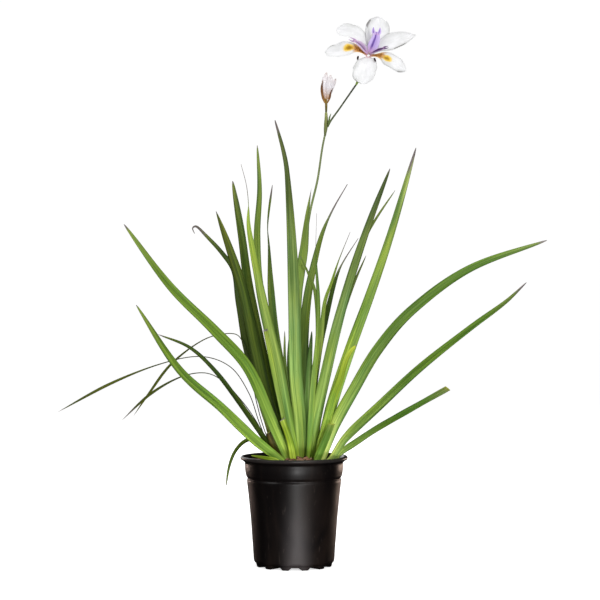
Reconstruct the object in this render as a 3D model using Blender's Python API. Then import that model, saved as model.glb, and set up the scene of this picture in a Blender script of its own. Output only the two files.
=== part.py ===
"""Potted African iris: a clump of sword-shaped leaves, one flower and one spent bud, in a nursery pot.

The design tables are in millimetres, with the origin at the middle of the pot's underside, X to the
right, Y to the back and Z up. The scene is in metres. Each leaf, tepal and bract is a solid of its own.
"""
import math

import bmesh
import bpy
from mathutils import Vector

MM = 0.001
GAP = 0.3  # air kept between neighbouring pieces

# ---- pot -------------------------------------------------------------------------------------------
POT_HEIGHT = 167.0
RIM_RADIUS = 81.8
RIM_DEPTH = 8.5
BODY_TOP_RADIUS = 75.6
KNEE_RADIUS = 61.2  # where the straight taper ends, just above the feet
KNEE_HEIGHT = 8.0
FOOT_RADIUS = 57.0
RING_HEIGHT = 133.0  # the shallow moulded ring below the rim
WALL_HOLLOW = 1.3  # how far the wall's middle lies inside a straight taper
WALL = 1.8
FLOOR = 2.4
NOTCH_HEIGHT = 4.0  # the drain notches between the feet
NOTCH_INNER_RADIUS = 30.0
FEET = 12
POT_SIDES = 72
FOOT_PHASE = math.radians(17.0)

# ---- soil ------------------------------------------------------------------------------------------
SOIL_TOP = 158.0
SOIL_EDGE = 155.5
SOIL_FLAT_RADIUS = 56.0

# ---- leaves ----------------------------------------------------------------------------------------
# name, tone, greatest width, thickness, kind of tip, turn of the face at the foot and at the tip in
# degrees about Z, and the middle line: its foot on the soil (x, y), then the points it passes, tip last
LEAVES = [
    ("leaf_01", "bright", 18.0, 1.7, "point", 8, 20, (-6.8, -22),
     [(-35.8, -32, 227), (-68.8, -54, 303), (-117, -86, 359), (-180.8, -122, 425), (-243.8, -160, 513)]),
    ("leaf_02", "bright", 15.6, 1.7, "point", 10, 24, (-12.8, -30),
     [(-59.2, -44, 195.4), (-107.6, -66, 244), (-168.6, -96, 302), (-228.8, -130, 397)]),
    ("leaf_03", "dark", 4.5, 1.3, "point", 0, 10, (-18.8, -20),
     [(-42.8, -23, 184), (-62.8, -25, 204.5), (-96.8, -31, 239)]),
    ("leaf_04", "dark", 9.0, 1.4, "point", -12, -25, (-21.8, 4),
     [(-55.8, 10, 207.6), (-84.2, 24, 246.5), (-122.8, 44, 295), (-162.8, 66, 330), (-213.8, 90, 350)]),
    ("leaf_05", "wiry", 3.1, 1.5, "point", 0, 0, (-27.8, 12),
     [(-51.8, 20, 211.6), (-69.8, 36, 260.4), (-99.8, 60, 300.4), (-147.8, 86, 315.4), (-212.8, 106, 302.6),
      (-292.8, 120, 270.8), (-377.8, 130, 225)]),
    ("leaf_06", "wiry", 3.1, 1.4, "point", 0, 0, (-26.8, 31),
     [(-45.8, 40, 203), (-57.8, 54, 243), (-70.8, 74, 301.4), (-84.2, 94, 343.6), (-104.8, 112, 351),
      (-145.8, 136, 340), (-197.8, 160, 301.4), (-234.8, 176, 253.6), (-261.8, 186, 215)]),
    ("leaf_07", "wiry", 3.0, 1.4, "point", 0, 0, (-23.8, 20),
     [(-60.8, 29, 221.6), (-82.8, 42, 250.4), (-110.8, 55, 278.4), (-139.8, 68, 290.4), (-179.8, 86, 282.6),
      (-227.8, 104, 255), (-273.8, 118, 213)]),
    ("leaf_08", "olive", 6.8, 1.4, "point", 0, 0, (-25.8, -14),
     [(-47.8, -10, 186), (-69.2, -2, 191.6), (-87.4, 6, 177), (-98.6, 12, 152), (-104.4, 15, 118)]),
    ("leaf_09", "dark", 13.5, 1.5, "point", -15, -35, (-17.8, 30),
     [(-50.8, 66, 261), (-74.4, 90, 326), (-88.4, 112, 399), (-96, 128, 449), (-115.8, 148, 479),
      (-144.8, 170, 510), (-158.8, 181, 523), (-165.3, 184.5, 520.5), (-161.8, 186, 511)]),
    ("leaf_10", "olive", 19.0, 1.6, "broad", -8, -18, (-15.8, 14),
     [(-40.8, 34, 244), (-59.8, 60, 326), (-79.8, 90, 415), (-100.8, 118, 479), (-125.8, 146, 547)]),
    ("leaf_11", "dark", 18.2, 1.6, "blunt", -8, -14, (-9.8, 21),
     [(-23.8, 38, 212), (-37.2, 53, 262), (-51.4, 81, 328), (-63.8, 104, 385), (-74.8, 124, 440),
      (-85.4, 156, 513), (-100.8, 196, 598)]),
    ("leaf_12", "pale", 17.4, 1.7, "thread", 4, 14, (4.2, -15),
     [(-9.8, -22, 230), (-26.4, -34, 317), (-47.4, -50, 407), (-64, -68, 493), (-67.4, -74, 519),
      (-67.2, -80, 546), (-70.2, -87, 574), (-77.8, -94, 604)]),
    ("leaf_13", "pale", 8.0, 1.4, "cut", 0, 6, (-1.8, -23),
     [(-17.2, -36, 235), (-30.8, -50, 299), (-42.6, -64, 360)]),
    ("leaf_14", "mid", 15.8, 1.5, "point", -6, -10, (4.2, 0),
     [(-12.8, 14, 243), (-34.8, 32, 335), (-54.2, 56, 427), (-58.2, 78, 506), (-54.8, 98, 577),
      (-58.8, 120, 650)]),
    ("leaf_15", "dark", 14.4, 1.5, "twist", 0, -140, (4.2, 8),
     [(-9.8, 28, 238), (-28.4, 60, 345), (-36.6, 86, 420), (-40.2, 106, 483), (-42.2, 118, 528),
      (-35.1, 136, 588)]),
    ("leaf_16", "mid", 21.0, 1.8, "lance", 0, 10, (11.2, -8),
     [(9.2, -13, 222), (2.8, -20, 291), (0.6, -32, 374), (-2.8, -52, 479), (-9, -76, 579),
      (-14, -90, 617), (-27.8, -104, 668)]),
    ("leaf_17", "lime", 11.0, 1.5, "cut", 4, 8, (0.2, -31), [(-5.8, -37, 192), (-17.4, -43, 225)]),
    ("leaf_18", "mid", 8.6, 1.4, "point", -20, -20, (4.2, 17),
     [(-6.8, 64, 236), (-14.8, 116, 301), (-15.8, 172, 354)]),
    ("leaf_19", "dark", 9.5, 1.4, "point", -10, -30, (12.2, 20),
     [(2.2, 38, 230), (-7.8, 62, 302), (-4.2, 92, 364), (2.2, 118, 410)]),
    ("leaf_20", "mid", 15.6, 1.6, "spear", -4, -10, (13.2, 4),
     [(7.2, 11, 251), (2.7, 22, 343), (4.6, 30, 410), (9.6, 37, 449), (14.8, 43, 481), (17.9, 49, 512),
      (21.2, 55, 543), (26.7, 60, 578)]),
    ("leaf_21", "dark", 17.5, 1.6, "whip", -10, -24, (19.2, 15),
     [(15.2, 40, 250), (14.2, 64, 334), (20.2, 86, 404), (31.2, 106, 461), (44.2, 124, 509), (61.2, 138, 548),
      (85.2, 152, 590)]),
    ("leaf_22", "pale", 9.5, 1.5, "thread", 12, 30, (21.2, -19),
     [(28.2, -38, 269), (35.2, -60, 344), (36.2, -80, 404), (32.2, -104, 470), (33.2, -128, 530)]),
    ("leaf_23", "mid", 9.0, 1.4, "point", 0, 0, (23.8, -4.6),
     [(30.6, 1.6, 274), (36.2, 12, 350), (32.2, 20, 415), (21.2, 26, 446), (9.2, 30, 472)]),
    ("leaf_24", "blue", 12.5, 1.5, "point", 0, 0, (18.6, -1),
     [(21.4, 6.6, 251), (23.8, 22, 309), (27.2, 38, 356)]),
    ("leaf_25", "mid", 17.6, 1.7, "point", 4, 8, (25.2, -11),
     [(33.4, -14, 225), (49.2, -18, 298), (65.2, -24, 366), (86.6, -34, 442), (114.2, -46, 524),
      (143.2, -60, 600)]),
    ("leaf_26", "olive", 8.6, 1.4, "point", 0, 0, (29.2, 2),
     [(41.2, 10, 244), (61.2, 20, 327), (71.2, 26, 370), (90.6, 34, 426), (111.2, 42, 473)]),
    ("leaf_27", "dark", 9.0, 1.4, "point", -12, -25, (29.2, 22),
     [(37.2, 60, 241), (59.2, 96, 325), (88.2, 138, 428), (113.2, 166, 501), (131.6, 180, 535),
      (164.2, 196, 583)]),
    ("leaf_28", "dark", 13.0, 1.4, "whip", -10, -20, (24.2, 18),
     [(27.2, 50, 249), (38.2, 84, 326), (50.6, 110, 379), (63.2, 134, 428), (75.4, 150, 460), (103.2, 172, 504)]),
    ("leaf_29", "pale", 9.5, 1.3, "whip", -6, -14, (23.6, 10),
     [(27.2, 30, 258), (40.2, 52, 334), (47.4, 72, 399), (58.6, 84, 432), (70.2, 98, 467), (88.6, 116, 512)]),
    ("leaf_30", "bright", 17.8, 1.8, "point", -4, -10, (33.8, -8.4),
     [(59, -8, 251), (86.8, -2, 334), (118.6, 14, 419), (150.8, 36, 512), (190.2, 72, 642)]),
    ("leaf_31", "lime", 14.6, 1.6, "blunt", 6, 10, (34.2, -28),
     [(57.2, -37, 252), (68.4, -44, 284), (76.6, -49, 313), (83.2, -52, 326), (93.2, -54, 337)]),
    ("leaf_32", "bright", 18.0, 1.7, "point", 0, 10, (40.2, -21),
     [(62.2, -24, 217), (88.8, -22, 266), (127.6, -15, 330.4), (180.4, -4, 389.8), (269.2, 12, 452.4),
      (389.2, 30, 496)]),
    ("leaf_33", "bright", 14.6, 1.6, "point", 16, 26, (49.2, -31),
     [(57.8, -33, 167.4), (79.2, -45, 199), (125.6, -72, 246), (185.8, -108, 305.6), (255.2, -146, 364),
      (302.2, -174, 401), (330.2, -192, 429)]),
    ("leaf_34", "bright", 10.5, 1.5, "cut", 14, 20, (58.2, -21),
     [(70.8, -26, 173.8), (93.2, -34, 190.2), (123.2, -49, 211.4), (171.8, -78, 242), (225.2, -112, 275)]),
    ("leaf_35", "bright", 12.0, 1.6, "cut", 6, 8, (32.2, -38), [(46.2, -46, 193), (56.2, -51, 219)]),
    ("leaf_36", "lime", 6.0, 1.4, "point", 4, 8, (-18.8, -38),
     [(-28.8, -38, 164.5), (-46.8, -36, 167.5), (-64.8, -30, 170)]),
    ("leaf_37", "olive", 8.0, 1.4, "blunt", 0, 8, (-16.8, 9),
     [(-33.8, 10, 190), (-42.8, 12, 218), (-54.3, 15, 248)]),
    ("dry_sheath", "dry", 13.0, 1.6, "cut", 0, 8, (-13.8, -2), [(-29.8, -3, 183), (-37.4, -5, 204)]),
]
FOOT_SHARE = 0.62  # a blade's width where it meets the soil, against its greatest width
FULL_FROM = 0.16  # the share of its length at which a blade first has its full width
ROUND_BLADES = ("wiry",)

# ---- flower stem -----------------------------------------------------------------------------------
# radii in mm, spread evenly over each line
STEM_RADII = (2.6, 2.5, 2.2, 1.8, 1.5)
SPATHE_RADII = (1.3, 2.7, 3.2, 2.6, 1.9)
SMALL_BRACT_RADII = (0.9, 1.5, 1.0, 0.4)
PEDICEL_RADII = (1.5, 1.3, 1.4)
STEM_FOOT = (16.2, 9)
STEM_LINE = [(8.2, 27, 327), (9.2, 40, 404), (15.2, 55, 474), (24.2, 63, 539), (36.2, 69, 591), (43.2, 72, 638),
             (47.6, 74, 660)]
SPATHE_LINE = [(48.1, 74, 661.0), (48.9, 73.4, 672), (49.8, 72.6, 685), (49.7, 71.4, 697.8)]
SMALL_BRACT_LINE = [(54.8, 66.2, 680), (55.3, 66, 688), (57.5, 66, 694.6)]
PEDICEL_LINE = [(56.2, 70.6, 682), (68.2, 61, 698.6), (83.2, 50, 719.4), (95.1, 40.3, 735.0)]
OVARY_LINE = [(95.6, 39.8, 735.8), (99.2, 36, 744), (103.7, 30.6, 754.5), (109.2, 24, 767), (113.2, 19.5, 775)]
OVARY_WIDTHS = (2.6, 5.6, 6.2, 4.6, 5.6)

# ---- flower ----------------------------------------------------------------------------------------
# name, the middle line from claw to tip, widths spread evenly over it, and which way the face looks
TEPALS = [
    ("outer_tepal_left", [(106.4, 15.6, 782.0), (98.2, 12, 786.4), (89.2, 10, 788.4), (78.2, 10.5, 786.6),
                          (64.2, 15, 784.8), (47.2, 22, 784.2)],
     (6.5, 7.5, 16.0, 28.0, 32.0, 32.0, 27.0, 14.0), (0.05, -0.86, 0.5)),
    ("outer_tepal_right", [(120.7, 14.6, 777.0), (128.6, 11.5, 777.6), (137.4, 8.6, 775.8), (147.2, 6, 770.3),
                           (158.2, 4, 762.6), (170.6, 5, 753)],
     (6.5, 7.0, 15.0, 26.0, 29.0, 28.5, 24.0, 13.0), (0.2, -0.80, 0.56)),
    ("outer_tepal_top", [(117, 22, 785.8), (120, 25, 793), (124, 29.6, 803.5), (129.4, 39, 820),
                         (131.6, 53, 843)],
     (6.0, 10.0, 26.0, 35.0, 38.0, 36.0, 29.0, 15.0), (-0.1, -0.92, 0.38)),
    ("inner_tepal_front", [(112.4, 10.2, 771.6), (110.6, 3, 766.4), (107.2, -10, 755.4), (105.2, -22, 741.4),
                           (104.2, -28, 729)],
     (6.0, 22.0, 33.0, 37.0, 37.0, 36.0, 31.0, 20.0), (-0.05, -0.74, 0.67)),
    ("inner_tepal_left", [(108.6, 22, 786.6), (105.8, 24.6, 797.5), (98.7, 28, 809.5), (85.7, 33, 817.6),
                          (64.8, 41, 821)],
     (5.0, 9.0, 17.0, 25.0, 28.0, 28.0, 25.0, 15.0), (0.1, -0.92, 0.38)),
    ("inner_tepal_right", [(121.8, 18.4, 783.4), (131.8, 18, 790.8), (147.2, 17.6, 797.8), (166.2, 20, 804.6),
                           (187.8, 25, 811)],
     (5.0, 10.0, 21.0, 27.0, 26.5, 22.0, 14.0, 4.0), (-0.25, -0.90, 0.36)),
]
TEPAL_THICK = 1.1
# name, middle line, widths and face: the flat violet style arms above the outer tepals' claws
STYLE_ARMS = [
    ("style_arm_left", [(110.8, 10.6, 784.4), (103.2, 7, 792), (95.9, 6.4, 797.3), (89.2, 8, 800.7)],
     (5.0, 11.0, 12.5, 8.0, 3.0), (0.1, -0.80, 0.6)),
    ("style_arm_right", [(118.6, 9.4, 783.0), (128.1, 6, 785), (139.5, 4, 788.4)],
     (5.0, 8.0, 9.0, 7.5, 3.4), (0.0, -0.62, 0.78)),
    ("style_arm_top", [(117.8, 12.6, 788.0), (122, 12.4, 795.6), (125.2, 14, 805.4), (126.1, 17, 814.6)],
     (7.0, 16.0, 16.0, 12.0, 9.0), (0.0, -0.92, 0.3)),
]
# name, two ends: the dark anthers that lie under the side style arms
ANTHER_RADII = (0.7, 1.3, 1.2, 0.6)
ANTHERS = [
    ("anther_left", (98, 5.0, 776.4), (96.6, 3.4, 769.8)),
    ("anther_right", (121.6, 0.4, 772.6), (124, -2.0, 766.4)),
]
BUD_STALK_RADII = (1.6, 2.0, 2.1)
BUD_VALVE_LEFT_RADII = (0.9, 2.0, 2.1, 0.7)
BUD_VALVE_RIGHT_RADII = (0.7, 1.3, 1.4, 0.5)
BUD_STALK_LINE = [(49.7, 70.6, 698.6), (49.8, 70.2, 706), (49.6, 70, 716)]
BUD_VALVE_LEFT = [(46.1, 69.6, 712.6), (44.1, 68.8, 722.5), (42.8, 68.2, 734), (44.6, 67.6, 746.5)]
BUD_VALVE_RIGHT = [(53.4, 69.4, 712.6), (55.6, 68.4, 720), (56.8, 67.8, 727.4), (60.4, 67, 734)]
BUD_PETALS_LINE = [(49.8, 69.6, 717.2), (50.6, 69, 726), (52.2, 68.4, 738), (54.6, 67.8, 750), (55, 67, 759)]
BUD_PETALS_WIDTHS = (2.4, 6.0, 11.0, 17.0, 9.0)

TONES = {
    "bright": (0.13, 0.27, 0.045), "mid": (0.10, 0.20, 0.045), "pale": (0.20, 0.33, 0.08),
    "dark": (0.035, 0.075, 0.015), "olive": (0.09, 0.12, 0.012), "lime": (0.30, 0.40, 0.03),
    "blue": (0.05, 0.12, 0.06), "wiry": (0.05, 0.07, 0.02), "dry": (0.15, 0.10, 0.05),
    "stem": (0.09, 0.17, 0.04), "bract": (0.12, 0.20, 0.07), "petal": (0.86, 0.85, 0.88),
    "style": (0.42, 0.30, 0.72), "anther": (0.05, 0.03, 0.06), "husk": (0.36, 0.22, 0.08),
    "faded": (0.72, 0.62, 0.56), "soil": (0.055, 0.028, 0.016), "pot": (0.012, 0.011, 0.011),
}


def material(tone):
    """The plain material of one tone, made once."""
    found = bpy.data.materials.get(tone)
    if found:
        return found
    made = bpy.data.materials.new(tone)
    made.use_nodes = True
    shader = made.node_tree.nodes["Principled BSDF"]
    shader.inputs["Base Color"].default_value = (*TONES[tone], 1.0)
    shader.inputs["Roughness"].default_value = 0.45
    return made


def solid(name, tone, points, faces, smooth_angle=40.0):
    """One closed object from points in millimetres and its faces, turned to face outwards."""
    mesh = bpy.data.meshes.new(name)
    mesh.from_pydata([Vector(p) * MM for p in points], [], faces)
    work = bmesh.new()
    work.from_mesh(mesh)
    bmesh.ops.recalc_face_normals(work, faces=work.faces)
    work.to_mesh(mesh)
    work.free()
    mesh.materials.append(material(tone))
    mesh.shade_smooth()
    mesh.set_sharp_from_angle(angle=math.radians(smooth_angle))
    made = bpy.data.objects.new(name, mesh)
    bpy.context.scene.collection.objects.link(made)
    return made


def curve_points(through, count):
    """count points and directions, evenly spaced, on a smooth curve through the given points.

    Each stretch is a cubic whose end slopes are the mean slope of its two neighbours, timed by the
    square root of the distance between points.
    """
    points = [Vector(p) for p in through]
    times = [0.0]
    for a, b in zip(points, points[1:]):
        times.append(times[-1] + (b - a).length ** 0.5)
    last = len(points) - 1
    slopes = []
    for i in range(len(points)):
        a, b = max(i - 1, 0), min(i + 1, last)
        slopes.append((points[b] - points[a]) / (times[b] - times[a]))
    fine = []
    for i in range(last):
        span = times[i + 1] - times[i]
        for k in range(24):
            s = k / 24.0
            h00, h10 = (1 + 2 * s) * (1 - s) ** 2, s * (1 - s) ** 2
            h01, h11 = s * s * (3 - 2 * s), s * s * (s - 1)
            fine.append(points[i] * h00 + slopes[i] * (h10 * span) + points[i + 1] * h01
                        + slopes[i + 1] * (h11 * span))
    fine.append(points[-1])
    lengths = [0.0]
    for a, b in zip(fine, fine[1:]):
        lengths.append(lengths[-1] + (b - a).length)
    places, ways = [], []
    for n in range(count):
        want = lengths[-1] * n / (count - 1)
        i = 0
        while i < len(fine) - 2 and lengths[i + 1] < want:
            i += 1
        share = (want - lengths[i]) / (lengths[i + 1] - lengths[i])
        places.append(fine[i].lerp(fine[i + 1], share))
        before, after = fine[max(i - 3, 0)], fine[min(i + 4, len(fine) - 1)]
        ways.append((after - before).normalized())
    return places, ways, lengths[-1]


def looped(rings, tipped):
    """Faces that join rings of equal length, with the first ring filled and the last filled or brought
    to one point, which is then the last point."""
    size = len(rings[0])
    faces = [tuple(rings[0])]
    for low, high in zip(rings, rings[1:]):
        for k in range(size):
            n = (k + 1) % size
            faces.append((low[k], low[n], high[n], high[k]))
    if tipped is None:
        faces.append(tuple(reversed(rings[-1])))
    else:
        for k in range(size):
            faces.append((rings[-1][k], rings[-1][(k + 1) % size], tipped))
    return faces


def blade_width(share, kind):
    """Width of a blade at a share of its length, against its greatest width."""
    foot = FOOT_SHARE + (1.0 - FOOT_SHARE) * min(share / FULL_FROM, 1.0)
    if kind == "cut":
        return foot * (1.0 - 0.16 * share)
    if kind in ("whip", "thread"):
        body = foot * math.sqrt(max(1.0 - (share / 0.86) ** 1.8, 0.0))
        return max(body, (0.9 if kind == "whip" else 0.5) * (1.0 - share))
    if kind == "blunt":
        return foot * math.sqrt(max(1.0 - share ** 7.0, 0.0)) * (1.0 - 0.28 * share)
    if kind == "broad":
        return foot * (1.0 - share ** 5.0) ** 0.8
    if kind == "lance":
        return foot * max(1.0 - share ** 2.6, 0.75 * (1.0 - share) ** 0.4)
    if kind == "spear":
        taper = (1.0 - share) / 0.24
        return foot * taper / (1.0 + taper ** 5) ** 0.2
    return foot * math.sqrt(max(1.0 - share ** 1.8, 0.0))


def blade_turn(share, kind):
    """How much of its turn about Z a blade has made at a share of its length."""
    if kind == "twist":
        return min(max((share - 0.59) / 0.36, 0.0), 1.0)
    return share ** 1.5


def blade(name, tone, width, thick, kind, turn_foot, turn_tip, foot, through):
    """A leaf: a flat four-sided section, ridged on both faces, swept along its middle line."""
    start = (foot[0], foot[1], SOIL_TOP + GAP)
    count = 6 + int(len(through) * 2)
    places, ways, _ = curve_points([start] + list(through), count)
    points, rings = [], []
    for i, (place, way) in enumerate(zip(places, ways)):
        share = i / (count - 1)
        if i == count - 1 and kind != "cut":
            break
        if i == 0:
            way = Vector((0, 0, 1))
        turn = math.radians(turn_foot + (turn_tip - turn_foot) * blade_turn(share, kind))
        face = Vector((math.sin(turn), -math.cos(turn), 0.0))
        across = way.cross(face).normalized()
        face = across.cross(way).normalized()
        half = 0.5 * width * blade_width(share, kind)
        deep = 0.5 * thick * (0.55 + 0.45 * blade_width(share, kind))
        if tone in ROUND_BLADES:
            half = 0.5 * width * (0.34 + 0.66 * math.sin(math.pi * min(share * 1.1, 1.0)))
            deep = 0.5 * thick * (1.0 - 0.5 * share)
        base = len(points)
        points += [place - across * half, place + face * deep, place + across * half, place - face * deep]
        rings.append([base, base + 1, base + 2, base + 3])
    tip = None
    if kind != "cut":
        tip = len(points)
        points.append(places[-1])
    return solid(name, tone, points, looped(rings, tip))


def rod(name, tone, through, radii, sides=8, tipped=False, count=0, flat=1.0):
    """A round bar along a line, its radius read from radii spread evenly over its length."""
    count = count or 3 * len(through)
    places, ways, _ = curve_points(through, count)
    points, rings = [], []
    for i, (place, way) in enumerate(zip(places, ways)):
        if tipped and i == count - 1:
            break
        at = i / (count - 1) * (len(radii) - 1)
        low = min(int(at), len(radii) - 2)
        radius = radii[low] + (radii[low + 1] - radii[low]) * (at - low)
        side = way.cross(Vector((0, -1, 0))).normalized()
        other = side.cross(way).normalized()
        base = len(points)
        for k in range(sides):
            angle = 2 * math.pi * (k + 0.5) / sides
            points.append(place + side * (radius * math.cos(angle)) + other * (flat * radius * math.sin(angle)))
        rings.append([base + k for k in range(sides)])
    tip = None
    if tipped:
        tip = len(points)
        points.append(places[-1])
    return solid(name, tone, points, looped(rings, tip))


def sheet(name, tone, through, widths, face, thick=TEPAL_THICK, cup=0.10, rows=9, columns=4):
    """A petal: a thin plate along its middle line, widths spread evenly over it, whose margins rise
    towards the face by cup times the width."""
    places, ways, _ = curve_points(through, rows)
    fronts, backs = [], []
    for i, (place, way) in enumerate(zip(places, ways)):
        at = i / (rows - 1) * (len(widths) - 1)
        low = min(int(at), len(widths) - 2)
        width = widths[low] + (widths[low + 1] - widths[low]) * (at - low)
        across = way.cross(Vector(face)).normalized()
        up = across.cross(way).normalized()
        for j in range(columns + 1):
            s = 2.0 * j / columns - 1.0
            middle = place + across * (0.5 * width * s) + up * (cup * width * s * s)
            fronts.append(middle + up * (0.5 * thick))
            backs.append(middle - up * (0.5 * thick))
    wide = columns + 1
    count = rows * wide
    faces = []
    for i in range(rows - 1):
        for j in range(columns):
            a, b = i * wide + j, i * wide + j + 1
            c, d = b + wide, a + wide
            faces += [(a, b, c, d), (count + a, count + d, count + c, count + b)]
    rim = list(range(wide)) + [i * wide + columns for i in range(1, rows)]
    rim += [(rows - 1) * wide + j for j in range(columns - 1, -1, -1)] + [i * wide for i in range(rows - 2, 0, -1)]
    for a, b in zip(rim, rim[1:] + rim[:1]):
        faces.append((a, b, count + b, count + a))
    return solid(name, tone, fronts + backs, faces)


def body_radius(height):
    """Outer radius of the pot's tapered, slightly hollow wall at a height, with its faint bulge."""
    share = (height - KNEE_HEIGHT) / (POT_HEIGHT - RIM_DEPTH - KNEE_HEIGHT)
    radius = KNEE_RADIUS + (BODY_TOP_RADIUS - KNEE_RADIUS) * share
    radius -= WALL_HOLLOW * math.sin(math.pi * share)
    if RING_HEIGHT + 2.0 < height < RING_HEIGHT + 18.0:
        radius += 0.3
    return radius


def turned(name, tone, profile, sides, lift=None):
    """A closed round solid: the profile of (radius, height) pairs runs from the middle of the underside
    out, up and back to the middle; lift may raise a point by its radius, height and angle."""
    points, rings = [], []
    for radius, height in profile:
        if radius == 0.0:
            rings.append([len(points)])
            points.append((0.0, 0.0, height))
            continue
        rings.append([len(points) + k for k in range(sides)])
        for k in range(sides):
            angle = 2 * math.pi * k / sides
            up = lift(radius, height, angle) if lift else 0.0
            points.append((radius * math.cos(angle), radius * math.sin(angle), height + up))
    faces = []
    for low, high in zip(rings, rings[1:]):
        for k in range(sides):
            n = (k + 1) % sides
            if len(low) == 1:
                faces.append((low[0], high[k], high[n]))
            elif len(high) == 1:
                faces.append((low[k], high[0], low[n]))
            else:
                faces.append((low[k], high[k], high[n], low[n]))
    return solid(name, tone, points, faces)


def notch_lift(radius, height, angle):
    """Height of the arched drain notches cut up into the pot's underside between its feet."""
    if height > 1.0 or radius < NOTCH_INNER_RADIUS + 1.0:
        return 0.0
    wave = 0.5 - 0.5 * math.cos(FEET * (angle - FOOT_PHASE))
    return NOTCH_HEIGHT * min(max(wave * 2.2 - 0.6, 0.0), 1.0)


def pot():
    """The nursery pot: rolled rim, tapered wall with one moulded ring, notched foot and flat floor."""
    outer = [
        (0.0, 0.0), (NOTCH_INNER_RADIUS - 8.0, 0.0), (NOTCH_INNER_RADIUS, 0.0),
        (NOTCH_INNER_RADIUS + 8.0, 0.0),
        (FOOT_RADIUS, 0.0), (FOOT_RADIUS + 0.8, 4.6), (KNEE_RADIUS, KNEE_HEIGHT),
        (body_radius(35.0), 35.0), (body_radius(65.0), 65.0),
        (body_radius(100.0), 100.0), (body_radius(RING_HEIGHT - 2.0), RING_HEIGHT - 2.0),
        (body_radius(RING_HEIGHT) - 0.5, RING_HEIGHT), (body_radius(RING_HEIGHT + 3.0), RING_HEIGHT + 3.0),
        (body_radius(RING_HEIGHT + 10.0), RING_HEIGHT + 10.0),
        (BODY_TOP_RADIUS, POT_HEIGHT - RIM_DEPTH), (RIM_RADIUS - 0.6, POT_HEIGHT - RIM_DEPTH),
        (RIM_RADIUS, POT_HEIGHT - RIM_DEPTH + 1.0), (RIM_RADIUS, POT_HEIGHT - 1.2),
        (RIM_RADIUS - 1.2, POT_HEIGHT),
    ]
    inner = [
        (BODY_TOP_RADIUS - 0.2, POT_HEIGHT), (BODY_TOP_RADIUS - WALL, POT_HEIGHT - 2.0),
        (body_radius(RING_HEIGHT + 14.0) - WALL - 0.5, RING_HEIGHT + 14.0),
        (body_radius(60.0) - WALL, 60.0), (body_radius(12.0) - WALL, 12.0),
        (FOOT_RADIUS - WALL, NOTCH_HEIGHT + FLOOR), (0.0, NOTCH_HEIGHT + FLOOR),
    ]
    return turned("pot", "pot", outer + inner, POT_SIDES, notch_lift)


def soil():
    """The potting mix: it fills the pot to just under the rim, highest over the crown."""
    lowest = NOTCH_HEIGHT + FLOOR + GAP
    clear = WALL + GAP + 0.2
    profile = [
        (0.0, lowest), (FOOT_RADIUS - clear, lowest), (body_radius(12.0) - clear, 12.6),
        (body_radius(60.0) - clear, 60.0), (body_radius(SOIL_EDGE) - clear - 0.6, SOIL_EDGE),
        (SOIL_FLAT_RADIUS, SOIL_TOP), (0.0, SOIL_TOP),
    ]
    return turned("soil", "soil", profile, 48)


def flower():
    """Six tepals round a short tube, three violet style arms and two anthers."""
    rod("ovary_and_tube", "stem", OVARY_LINE, [w / 2 for w in OVARY_WIDTHS], sides=8, count=8)
    for name, through, widths, face in TEPALS:
        sheet(name, "petal", through, widths, face)
    for name, through, widths, face in STYLE_ARMS:
        sheet(name, "style", through, widths, face, cup=0.06, rows=7, columns=2)
    for name, low, high in ANTHERS:
        rod(name, "anther", [low, high], ANTHER_RADII, sides=6, count=4)


def bud():
    """The spent bud: its short stalk, two papery valves and the crumpled faded petals between them."""
    rod("bud_stalk", "stem", BUD_STALK_LINE, BUD_STALK_RADII, sides=8, count=4)
    rod("bud_valve_left", "husk", BUD_VALVE_LEFT, BUD_VALVE_LEFT_RADII, 6, tipped=True, count=6, flat=1.6)
    rod("bud_valve_right", "husk", BUD_VALVE_RIGHT, BUD_VALVE_RIGHT_RADII, 6, tipped=True, count=6, flat=2.0)
    rod("bud_petals", "faded", BUD_PETALS_LINE, [w / 2 for w in BUD_PETALS_WIDTHS], sides=8, count=8, flat=0.9)


def stems():
    """The flower stem up to its node, the two green bracts there and the side stalk of the flower."""
    foot = (STEM_FOOT[0], STEM_FOOT[1], SOIL_TOP + 2 * GAP)
    rod("flower_stem", "stem", [foot] + STEM_LINE, STEM_RADII, sides=8, count=20)
    rod("spathe", "bract", SPATHE_LINE, SPATHE_RADII, sides=8, count=7)
    rod("small_bract", "bract", SMALL_BRACT_LINE, SMALL_BRACT_RADII, sides=6, count=5, tipped=True)
    rod("flower_stalk", "stem", PEDICEL_LINE, PEDICEL_RADII, sides=8, count=8)


for old in list(bpy.data.objects):
    bpy.data.objects.remove(old, do_unlink=True)

pot()
soil()
for leaf in LEAVES:
    blade(*leaf)
stems()
flower()
bud()
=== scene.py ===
"""Potted African iris: the finished pot, potting mix, leaves, flower stem, flower and spent bud.

Tables are in millimetres and degrees, with the origin at the middle of the pot's underside, X to the
right, Y to the back and Z up. The scene is in metres.
"""

import math

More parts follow.
